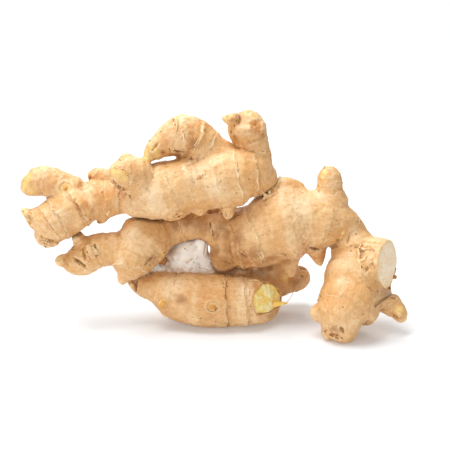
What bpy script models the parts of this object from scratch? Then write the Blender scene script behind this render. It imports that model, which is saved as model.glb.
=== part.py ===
"""A hand of fresh ginger, one branching root that grew as a single piece.

Each knob and finger is a tube along its own spine, with a rounded tip and a low step at every
ring where a leaf scale grew. The tubes of a branch are joined and the creases between them are
filled, the three branches grow together, and the whole is left a little lumpy. A knife, a break
and the table then leave flat faces.

Model units are metres; +Z is up, +X runs to the right of the hand and +Y to its back. The origin
is on the table, under the middle of the hand.
"""

import math

import bpy
import numpy as np
from mathutils import Vector

MM = 0.001

# How the skin is shaped
SAMPLE_STEP = 0.8 * MM
TUBE_SIDES_RESOLUTION = 6
LEAST_RADIUS = 0.35 * MM
ROOT_DOME = 0.5
RING_STEP = 0.75 * MM
RING_RISE = 4.5 * MM
VOXEL = 0.9 * MM
SMALL_LOBE = 6.6 * MM
CRISP_LOBES = ("upright_finger",)
SOFT_LOBES = ("back_hump_ear", "back_hump_shoulder", "back_hump_crest")
CREASE_FILLET = 2.4 * MM
SMOOTHING = 0.5
SMOOTH_PASSES = 3
LUMP_WIDTH = 11.0 * MM
LUMP_HEIGHT = 1.2 * MM
TRIANGLES = 11200

# Where the hand rests, is cut and is broken
TABLE_SLAB = (0.30, 0.20, 0.02)
CUT_FACE_CENTRE = (87.5, -8.5, 36.5)
CUT_FACE_NORMAL = (0.86, -0.50, 0.08)
CUT_FACE_CUTTER = (0.036, 0.036, 0.020)
BREAK_CENTRE = (28.0, -4.0, 14.0)
BREAK_NORMAL = (0.72, -0.66, 0.22)
BREAK_CUTTER = (0.027, 0.027, 0.012)

# The three branches of the hand and their lobes. Each lobe: its spine as (x, y, z, radius) in
# millimetres, from its root to its tip, and the rings along it, counted in spine points.
BRANCHES = {
    "upper_branch": {
        "upper_body": (
            [(-46.0, 6.5, 63.5, 7.0), (-41.0, 6.5, 63.8, 7.6), (-35.0, 6.5, 65.8, 11.4),
             (-28.5, 5.5, 69.5, 15.0), (-22.0, 5.5, 71.0, 15.5), (-14.0, 5.5, 74.0, 13.8),
             (-7.0, 5.5, 74.5, 13.8), (1.0, 6.0, 76.5, 15.0), (9.0, 6.5, 77.5, 15.3),
             (18.5, 7.5, 78.4, 13.4), (25.5, 8.5, 74.8, 10.2), (30.0, 9.5, 71.0, 7.4)],
            (4.2, 5.4, 7.0, 8.3, 9.3)),
        "upper_body_nub": (
            [(-7.0, 2.5, 65.0, 6.0), (-7.5, -0.5, 59.0, 3.0)],
            ()),
        "upper_body_point": (
            [(7.0, 3.5, 64.5, 5.0), (7.0, 0.5, 57.0, 1.8)],
            ()),
        "outer_body": (
            [(-35.5, 10.5, 65.8, 9.0), (-47.5, 10.5, 65.8, 8.6), (-56.0, 9.5, 64.9, 9.8),
             (-64.0, 8.5, 65.2, 10.6), (-71.5, 7.5, 66.5, 10.8)],
            (0.9, 2.0, 3.2)),
        "outer_body_point": (
            [(-57.5, 6.5, 59.0, 5.0), (-58.0, 5.5, 53.0, 1.6)],
            ()),
        "outer_upper_finger": (
            [(-69.0, 7.5, 67.5, 9.8), (-76.0, 7.5, 70.8, 8.4), (-83.0, 7.5, 74.5, 7.8),
             (-88.0, 7.5, 75.3, 7.7), (-93.5, 6.5, 72.9, 6.2), (-98.5, 6.5, 69.6, 4.4)],
            (1.6, 2.7, 3.4)),
        "outer_lower_finger": (
            [(-63.5, 5.5, 67.5, 10.5), (-71.5, 3.5, 62.0, 11.5), (-79.0, 1.5, 57.5, 11.3),
             (-85.0, -0.5, 54.0, 10.6), (-90.5, -1.5, 50.5, 8.0)],
            (0.8, 2.1, 2.9)),
        "outer_lower_stub": (
            [(-84.5, -0.5, 50.5, 7.8), (-87.5, -2.5, 43.0, 6.3)],
            (0.6,)),
        "outer_lower_shoulder": (
            [(-86.5, 0.5, 57.5, 6.7), (-95.5, -0.5, 57.0, 5.3)],
            (0.6,)),
        "outer_lower_scale": (
            [(-92.0, -0.5, 58.5, 4.0), (-98.0, -0.5, 63.0, 1.1)],
            ()),
        "middle_knob": (
            [(-35.0, 5.5, 73.5, 8.0), (-39.5, -0.5, 80.0, 9.5), (-44.0, -5.5, 82.6, 8.2),
             (-51.5, -11.5, 85.0, 4.4)],
            (0.9, 1.7, 2.3)),
        "middle_knob_top": (
            [(-42.5, 3.5, 84.0, 6.0), (-45.5, 3.5, 91.0, 3.3)],
            (0.5,)),
        "small_bud": (
            [(-53.0, 15.5, 73.5, 4.6), (-59.0, 15.5, 75.5, 4.1), (-65.5, 15.5, 76.5, 2.9)],
            (0.8, 1.4)),
        "hooked_finger": (
            [(13.5, 9.5, 82.0, 7.3), (9.0, 9.5, 84.5, 7.4), (4.0, 10.0, 87.0, 8.8),
             (-1.0, 10.5, 89.5, 9.4), (-5.5, 10.5, 93.0, 10.2), (-9.5, 10.5, 96.0, 10.8),
             (-15.5, 10.0, 98.0, 10.9), (-21.0, 9.0, 97.0, 9.5), (-26.0, 7.5, 94.5, 7.1),
             (-31.0, 5.5, 91.0, 4.7), (-34.5, 2.5, 87.5, 2.2)],
            (3.8, 5.0, 6.3, 9.0)),
        "upright_finger": (
            [(22.3, 9.5, 79.5, 8.6), (20.8, 11.5, 90.0, 8.1), (19.0, 12.0, 95.0, 8.6),
             (17.0, 12.5, 101.0, 9.9), (16.6, 12.5, 106.0, 9.8), (16.2, 11.5, 110.4, 8.2)],
            (0.9, 2.0, 3.6)),
        "upright_finger_scale": (
            [(12.0, 10.0, 106.0, 5.2), (4.0, 7.5, 108.5, 0.9)],
            ()),
        "back_bud": (
            [(-64.0, 11.5, 65.0, 8.0), (-68.0, 21.5, 62.0, 4.5)],
            (0.6,)),
    },
    "middle_branch": {
        "lower_body": (
            [(5.0, 10.5, 40.5, 9.0), (10.0, 10.5, 42.0, 14.5), (17.5, 9.5, 44.0, 16.3),
             (24.5, 8.5, 46.5, 16.9), (33.0, 8.5, 51.0, 19.5), (40.0, 7.5, 54.0, 20.0),
             (48.0, 6.5, 55.6, 14.9), (56.5, 5.5, 54.0, 13.8), (64.0, 5.5, 52.0, 11.2),
             (70.0, 5.5, 47.5, 9.2), (76.0, 4.5, 41.5, 9.0)],
            (0.9, 1.65, 2.75, 4.0, 5.6, 7.2, 8.6)),
        "lower_body_crown": (
            [(29.0, 10.5, 62.0, 5.2), (34.5, 11.0, 69.0, 6.8), (40.0, 11.0, 68.0, 7.2),
             (46.0, 10.5, 63.0, 6.6)],
            ()),
        "lower_body_heel": (
            [(10.0, 10.5, 41.0, 13.0), (6.5, 9.5, 34.0, 9.3), (5.0, 7.5, 25.0, 7.0)],
            (1.2,)),
        "neck": (
            [(13.5, 11.5, 43.5, 14.0), (4.0, 12.5, 48.0, 12.0), (-6.0, 14.5, 49.5, 8.2),
             (-17.0, 15.5, 49.0, 9.0), (-27.5, 13.5, 47.0, 10.5), (-34.5, 8.5, 43.0, 11.0)],
            (1.2, 2.1, 3.0, 4.0)),
        "left_knob": (
            [(-26.0, 13.5, 49.0, 10.0), (-35.5, 7.5, 43.7, 13.6), (-41.0, 3.5, 37.0, 12.2),
             (-43.5, -0.5, 31.5, 10.7), (-45.0, -1.5, 25.0, 6.2)],
            (1.6, 2.6, 3.4)),
        "left_knob_crown": (
            [(-36.0, 8.5, 45.5, 8.5), (-42.5, 8.5, 50.5, 7.0), (-46.0, 8.5, 54.0, 5.6)],
            ()),
        "left_knob_bud": (
            [(-46.5, -1.5, 28.5, 4.5), (-48.0, -2.5, 22.0, 1.8)],
            ()),
        "left_knob_lobe": (
            [(-29.0, 10.5, 41.0, 7.0), (-26.5, 6.5, 36.5, 4.2)],
            ()),
        "low_finger": (
            [(-46.5, 5.5, 40.5, 9.0), (-55.0, 4.5, 39.5, 8.6), (-61.5, 3.5, 39.0, 9.0),
             (-68.0, 2.5, 35.0, 8.6), (-73.0, 1.5, 33.0, 6.8), (-78.5, 0.5, 31.5, 4.5)],
            (1.4, 2.5, 3.3)),
        "low_finger_tip": (
            [(-74.5, 0.5, 34.5, 4.0), (-82.0, -1.5, 35.5, 2.6)],
            ()),
        "low_finger_knuckle": (
            [(-66.5, 3.5, 41.5, 5.8), (-69.5, 3.5, 45.5, 3.9), (-71.0, 3.5, 50.5, 2.3)],
            ()),
        "right_finger": (
            [(61.5, 6.5, 60.0, 9.5), (59.5, 8.5, 69.0, 7.0), (59.0, 9.5, 75.5, 6.3),
             (58.0, 9.5, 83.0, 5.0)],
            (0.9, 1.7, 2.4)),
        "hanging_tooth": (
            [(51.5, 5.5, 44.0, 6.0), (53.0, 3.5, 39.5, 5.3), (54.0, 2.5, 35.5, 3.6),
             (55.0, 1.5, 31.5, 1.3)],
            (1.0,)),
        "hanging_nub": (
            [(34.0, 7.5, 44.5, 11.0), (37.0, 6.5, 38.0, 8.4), (39.0, 5.5, 33.0, 5.6),
             (39.5, 5.5, 29.0, 3.8), (39.5, 4.5, 23.5, 2.3)],
            (1.6, 2.6)),
        "right_body": (
            [(67.0, 4.5, 48.0, 10.0), (71.0, 2.5, 41.0, 12.0), (72.5, -0.5, 34.5, 13.6),
             (71.5, -5.5, 28.0, 15.0), (70.5, -10.5, 20.5, 15.5), (68.0, -15.5, 16.0, 15.9),
             (65.5, -19.5, 11.0, 13.5), (66.0, -22.5, 5.5, 9.0), (68.0, -24.5, -0.5, 6.0)],
            (0.9, 2.4, 4.0, 5.4, 6.6)),
        "right_body_shoulder": (
            [(57.0, -16.5, 13.0, 6.6), (48.5, -17.5, 12.5, 3.6)],
            ()),
        "right_body_foot": (
            [(60.0, -19.5, 6.5, 6.0), (57.0, -23.5, 1.0, 4.0)],
            ()),
        "cut_stump": (
            [(73.0, 2.5, 35.5, 13.0), (80.0, -2.5, 34.8, 13.4), (87.5, -8.5, 35.5, 13.2),
             (94.5, -14.5, 36.0, 13.0)],
            (0.6,)),
        "right_small_finger": (
            [(82.0, -7.5, 21.5, 9.0), (87.0, -9.5, 17.5, 7.0), (91.0, -10.5, 14.0, 5.7),
             (94.5, -12.5, 11.0, 4.2), (97.0, -14.5, 6.5, 2.4)],
            (0.8, 1.5, 2.3)),
        "back_knob": (
            [(38.0, 11.5, 51.0, 14.0), (35.0, 21.5, 50.0, 11.5), (31.0, 30.5, 47.0, 7.5)],
            (0.9, 1.5)),
    },
    "lower_branch": {
        "front_finger": (
            [(-45.5, 6.5, 23.5, 1.8), (-41.5, 4.5, 21.5, 3.8), (-37.0, 3.5, 19.5, 5.6),
             (-29.0, 1.5, 18.6, 8.7), (-20.0, -0.5, 15.4, 12.0), (-10.0, -1.5, 13.8, 13.5),
             (0.5, -1.5, 13.3, 13.7), (10.5, -1.5, 13.0, 13.2), (19.5, -1.5, 13.0, 12.3),
             (28.0, -1.5, 13.0, 10.8), (36.0, -1.5, 13.0, 9.0)],
            (2.2, 3.6, 6.45, 7.5, 8.6)),
        "front_finger_bud": (
            [(-25.0, -3.5, 15.0, 6.0), (-26.0, -11.0, 15.0, 3.0)],
            ()),
        "front_finger_eye": (
            [(-0.5, -8.5, 14.0, 6.0), (-0.5, -16.0, 14.5, 3.6)],
            ()),
        "back_hump": (
            [(-10.5, 15.5, 13.0, 13.0), (-13.0, 20.5, 21.0, 10.0), (-15.5, 16.5, 30.5, 11.5),
             (-15.0, 15.5, 35.5, 9.0), (-16.0, 15.5, 42.0, 6.2)],
            (1.2, 2.6)),
        "back_hump_crest": (
            [(-39.0, 4.5, 20.0, 4.0), (-32.5, 7.5, 28.0, 4.3), (-27.5, 8.5, 26.0, 4.2),
             (-21.5, 9.5, 23.0, 4.6), (-12.0, 9.5, 22.0, 5.0), (3.0, 9.5, 20.5, 5.0)],
            ()),
        "back_hump_ear": (
            [(-10.5, 14.5, 33.0, 7.0), (-7.0, 13.5, 39.5, 4.4), (-4.6, 13.5, 44.8, 1.7)],
            ()),
        "back_hump_shoulder": (
            [(-5.0, 14.5, 23.5, 7.6), (-6.8, 13.5, 31.0, 5.6), (-7.6, 13.5, 36.0, 4.6)],
            ()),
        "back_finger": (
            [(0.0, 13.5, 13.5, 12.0), (13.5, 17.5, 10.5, 11.0), (23.0, 19.5, 13.5, 10.0),
             (32.0, 21.5, 15.0, 8.6), (39.0, 22.5, 16.0, 7.8), (45.0, 23.5, 16.5, 7.0),
             (51.5, 23.5, 17.0, 5.5)],
            (1.6, 2.7, 3.8, 5.0)),
        "hidden_joint": (
            [(13.0, 14.5, 36.0, 10.0), (8.5, 15.5, 27.0, 11.0), (9.0, 14.5, 14.0, 10.0)],
            ()),
        "hidden_joint_right": (
            [(29.0, 18.5, 38.0, 9.0), (32.0, 20.5, 25.0, 8.0), (34.0, 21.5, 14.0, 6.6)],
            ()),
        "hidden_foot": (
            [(-11.0, 15.5, 12.0, 10.0), (-17.0, 18.5, 9.4, 9.8), (-24.0, 21.5, 9.0, 8.0)],
            (1.2,)),
    },
}


def blend(a, b, c, d, t):
    """A smooth curve's value between b and c, with a and d as its neighbours."""
    return 0.5 * (2 * b + (c - a) * t + (2 * a - 5 * b + 4 * c - d) * t * t
                  + (3 * b - a - 3 * c + d) * t * t * t)


def spine_samples(points):
    """Places along a smooth spine through the points: centre, radius and count of points passed."""
    rows = [Vector(p) * MM for p in points]
    first, last = rows[0] * 2 - rows[1], rows[-1] * 2 - rows[-2]
    rows = [first, *rows, last]
    samples = []
    for i in range(1, len(rows) - 2):
        length = (rows[i + 1].xyz - rows[i].xyz).length
        steps = max(2, math.ceil(length / SAMPLE_STEP))
        for k in range(steps):
            row = blend(rows[i - 1], rows[i], rows[i + 1], rows[i + 2], k / steps)
            samples.append((row.xyz, row.w, i - 1 + k / steps))
    samples.append((rows[-2].xyz, rows[-2].w, len(points) - 1))
    return samples


def ring_relief(place, ring_places):
    """How far the skin stands out: it rises to each ring, and steps down just past it."""
    relief = 0.0
    for ring in ring_places:
        before = ring - place
        if 0 <= before < RING_RISE:
            relief = max(relief, RING_STEP * (1 - before / RING_RISE))
    return relief


def make_lobe(name, points, rings):
    """A closed tube of changing radius along its spine, blunt at its root and round at its tip."""
    samples = spine_samples(points)
    along = [0.0]
    for (a, _, _), (b, _, _) in zip(samples, samples[1:]):
        along.append(along[-1] + (b - a).length)
    ring_places = []
    for ring in rings:
        nearest = min(range(len(samples)), key=lambda i: abs(samples[i][2] - ring))
        ring_places.append(along[nearest])
    curve = bpy.data.curves.new(name, "CURVE")
    curve.dimensions = "3D"
    curve.bevel_depth = MM
    curve.bevel_resolution = TUBE_SIDES_RESOLUTION
    curve.use_fill_caps = True
    spline = curve.splines.new("POLY")
    spline.points.add(len(samples) - 1)
    for i, (centre, radius, _) in enumerate(samples):
        body = radius + ring_relief(along[i], ring_places)
        from_root = along[i] / (ROOT_DOME * body)
        from_tip = (along[-1] - along[i]) / body
        dome = min(1.0, from_root, from_tip)
        rounded = body * math.sqrt(1 - (1 - dome) ** 2)
        spline.points[i].co = (*centre, 1.0)
        spline.points[i].radius = max(LEAST_RADIUS, rounded) / MM
    tube = bpy.data.objects.new(name, curve)
    bpy.context.scene.collection.objects.link(tube)
    return tube


def as_one_mesh(tubes, extra, name, collection):
    """One mesh object from the evaluated tubes, which are then removed, and other meshes."""
    bpy.context.view_layer.update()
    graph = bpy.context.evaluated_depsgraph_get()
    bpy.ops.object.select_all(action="DESELECT")
    for tube in tubes:
        mesh = bpy.data.meshes.new_from_object(tube.evaluated_get(graph))
        solid = bpy.data.objects.new(tube.name + "_solid", mesh)
        collection.objects.link(solid)
        solid.select_set(True)
        bpy.context.view_layer.objects.active = solid
    for tube in tubes:
        bpy.data.objects.remove(tube)
    for other in extra:
        other.select_set(True)
        bpy.context.view_layer.objects.active = other
    bpy.ops.object.join()
    whole = bpy.context.view_layer.objects.active
    whole.name = whole.data.name = name
    return whole


def apply_modifiers(obj):
    """Makes the modifiers' result the object's own mesh."""
    bpy.context.view_layer.objects.active = obj
    for modifier in list(obj.modifiers):
        bpy.ops.object.modifier_apply(modifier=modifier.name)


def close_skin(obj):
    """One closed skin round all that the mesh holds, slightly smoothed."""
    remesh = obj.modifiers.new("join", "REMESH")
    remesh.mode = "VOXEL"
    remesh.voxel_size = VOXEL
    smooth = obj.modifiers.new("smooth", "SMOOTH")
    smooth.factor = SMOOTHING
    smooth.iterations = SMOOTH_PASSES
    apply_modifiers(obj)


def fill_creases(obj):
    """Fills the creases between lobes with a fillet, and moves nothing else."""
    mesh = obj.data
    size = len(mesh.vertices)
    ends = np.empty(len(mesh.edges) * 2, int)
    mesh.edges.foreach_get("vertices", ends)
    a, b = ends.reshape(-1, 2).T
    counts = np.bincount(a, minlength=size) + np.bincount(b, minlength=size)
    points, normals = np.empty(size * 3), np.empty(size * 3)
    mesh.vertices.foreach_get("co", points)
    points = points.reshape(-1, 3)
    for _ in range(round((CREASE_FILLET / VOXEL) ** 2)):
        mesh.vertices.foreach_set("co", points.ravel())
        mesh.update()
        mesh.vertices.foreach_get("normal", normals)
        out = normals.reshape(-1, 3)
        middles = np.stack([np.bincount(a, points[b, i], size) + np.bincount(b, points[a, i], size)
                            for i in range(3)], axis=1) / counts[:, None]
        lift = ((middles - points) * out).sum(1)
        points += out * np.maximum(lift, 0)[:, None]
    mesh.vertices.foreach_set("co", points.ravel())
    mesh.update()


def grow_branch(name, lobes, collection):
    """A branch's large lobes with filled creases, and then its small lobes, left crisp."""
    large = {k: v for k, v in lobes.items() if k in SOFT_LOBES
             or (k not in CRISP_LOBES and max(p[3] for p in v[0]) * MM > SMALL_LOBE)}
    small = {k: v for k, v in lobes.items() if k not in large}
    branch = as_one_mesh([make_lobe(k, *v) for k, v in large.items()], [], name, collection)
    close_skin(branch)
    fill_creases(branch)
    return as_one_mesh([make_lobe(k, *v) for k, v in small.items()], [branch], name, collection)


def raise_lumps(root):
    """Leaves the skin softly uneven."""
    lumps = bpy.data.textures.new("lumps", "CLOUDS")
    lumps.noise_scale = LUMP_WIDTH
    lumps.noise_depth = 2
    displace = root.modifiers.new("lumps", "DISPLACE")
    displace.texture = lumps
    displace.texture_coords = "LOCAL"
    displace.strength = LUMP_HEIGHT
    displace.mid_level = 0.5
    apply_modifiers(root)


def lighten(root):
    """Fewer and larger triangles where the skin is even."""
    decimate = root.modifiers.new("lighten", "DECIMATE")
    decimate.ratio = TRIANGLES / (2 * len(root.data.polygons))
    decimate.use_collapse_triangulate = True
    apply_modifiers(root)


def make_cutter(name, centre, normal, size, collection):
    """A box whose near face passes through centre and faces against normal."""
    bpy.ops.mesh.primitive_cube_add(size=1)
    cutter = bpy.context.active_object
    cutter.name = name
    direction = Vector(normal).normalized()
    cutter.scale = size
    cutter.rotation_euler = direction.to_track_quat("Z", "Y").to_euler()
    cutter.location = Vector(centre) * MM + direction * size[2] / 2
    cutter.hide_render = True
    cutter.display_type = "WIRE"
    for owner in list(cutter.users_collection):
        owner.objects.unlink(cutter)
    collection.objects.link(cutter)
    return cutter


def cut_with(root, cutters):
    """Takes the cutters out of the root."""
    for cutter in cutters:
        cut = root.modifiers.new(cutter.name, "BOOLEAN")
        cut.operation = "DIFFERENCE"
        cut.object = cutter


def ginger_skin_material():
    """Pale tan skin, dry and softly glossy."""
    material = bpy.data.materials.new("ginger_skin")
    material.use_nodes = True
    shader = material.node_tree.nodes["Principled BSDF"]
    shader.inputs["Base Color"].default_value = (0.60, 0.38, 0.19, 1.0)
    shader.inputs["Roughness"].default_value = 0.55
    shader.inputs["Metallic"].default_value = 0.0
    return material


def main():
    for obj in list(bpy.data.objects):
        bpy.data.objects.remove(obj)
    parts = bpy.data.collections.new("ginger_root")
    cutters = bpy.data.collections.new("cutters")
    bpy.context.scene.collection.children.link(parts)
    bpy.context.scene.collection.children.link(cutters)

    branches = [grow_branch(name, lobes, parts) for name, lobes in BRANCHES.items()]
    root = as_one_mesh([], branches, "ginger_root", parts)
    close_skin(root)
    raise_lumps(root)
    lighten(root)
    root.data.materials.clear()
    root.data.materials.append(ginger_skin_material())
    root.data.shade_smooth()

    cut_with(root, [
        make_cutter("table", (0, 0, 0), (0, 0, -1), TABLE_SLAB, cutters),
        make_cutter("knife_cut", CUT_FACE_CENTRE, CUT_FACE_NORMAL, CUT_FACE_CUTTER, cutters),
        make_cutter("break", BREAK_CENTRE, BREAK_NORMAL, BREAK_CUTTER, cutters),
    ])


main()
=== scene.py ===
"""The looks of a hand of fresh ginger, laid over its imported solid.

The file follows the root as it grew: three branches that press on each other, the scales and scars
on their skin, the knife cut and the break, and last the floor and the light. Lengths are metres.
"""

import math
import random

import bmesh
import bpy
import numpy as np
from mathutils import Matrix, Vector, noise
from mathutils.bvhtree import BVHTree


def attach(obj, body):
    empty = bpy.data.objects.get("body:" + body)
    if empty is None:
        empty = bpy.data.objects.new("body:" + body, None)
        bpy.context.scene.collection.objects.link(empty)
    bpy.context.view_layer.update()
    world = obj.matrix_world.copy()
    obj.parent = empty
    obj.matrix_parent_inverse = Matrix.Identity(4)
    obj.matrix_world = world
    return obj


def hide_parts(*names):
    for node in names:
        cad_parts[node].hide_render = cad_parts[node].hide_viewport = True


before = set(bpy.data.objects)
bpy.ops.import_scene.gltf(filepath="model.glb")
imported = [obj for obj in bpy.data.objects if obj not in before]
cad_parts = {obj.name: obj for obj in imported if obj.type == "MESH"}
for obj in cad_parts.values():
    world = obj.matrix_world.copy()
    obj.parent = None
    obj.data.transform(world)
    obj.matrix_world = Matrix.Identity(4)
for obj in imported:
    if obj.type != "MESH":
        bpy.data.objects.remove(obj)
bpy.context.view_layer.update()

MM = 0.001


# The camera
# The photograph looks a little down on the hand, from its front and from well back, so the
# fingers keep nearly the same scale from left to right.
PHOTO_SIZE = 450
LOOK_AT = Vector((5.5, 11.5, 50.4)) * MM
CAMERA_DISTANCE = 650 * MM
LOOKS_DOWN = math.radians(18)
LENS, SENSOR = 100.0, 36.0
NEARING_STEPS = 8

back_off = Vector((0, -math.cos(LOOKS_DOWN), math.sin(LOOKS_DOWN)))
bpy.ops.object.camera_add(location=LOOK_AT + back_off * CAMERA_DISTANCE,
                          rotation=(math.pi / 2 - LOOKS_DOWN, 0, 0))
camera = bpy.context.active_object
camera.name = "photo_camera"
camera.data.lens, camera.data.sensor_width = LENS, SENSOR
bpy.context.scene.camera = camera
bpy.context.view_layer.update()


def sight_line(x, y):
    """The direction in which the camera sees a pixel of the square photograph."""
    across = (x / PHOTO_SIZE - 0.5) * SENSOR / LENS
    up = (0.5 - y / PHOTO_SIZE) * SENSOR / LENS
    return (camera.matrix_world.to_3x3() @ Vector((across, up, -1))).normalized()


def nearest_on(surfaces, point):
    """The nearest place to a point on some surfaces, and the way that it faces."""
    return min([surface.find_nearest(point) for surface in surfaces], key=lambda hit: hit[3])[:2]


def seen_on(surfaces, x, y):
    """Where the camera's line through a pixel first meets a surface, or passes nearest to one."""
    line = sight_line(x, y)
    hits = [surface.ray_cast(camera.location, line) for surface in surfaces]
    hits = [hit for hit in hits if hit[0] is not None]
    if hits:
        return min(hits, key=lambda hit: hit[3])[:2]
    distance = CAMERA_DISTANCE
    for _ in range(NEARING_STEPS):
        place, normal = nearest_on(surfaces, camera.location + line * distance)
        distance = (place - camera.location).dot(line)
    return place, normal


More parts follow.
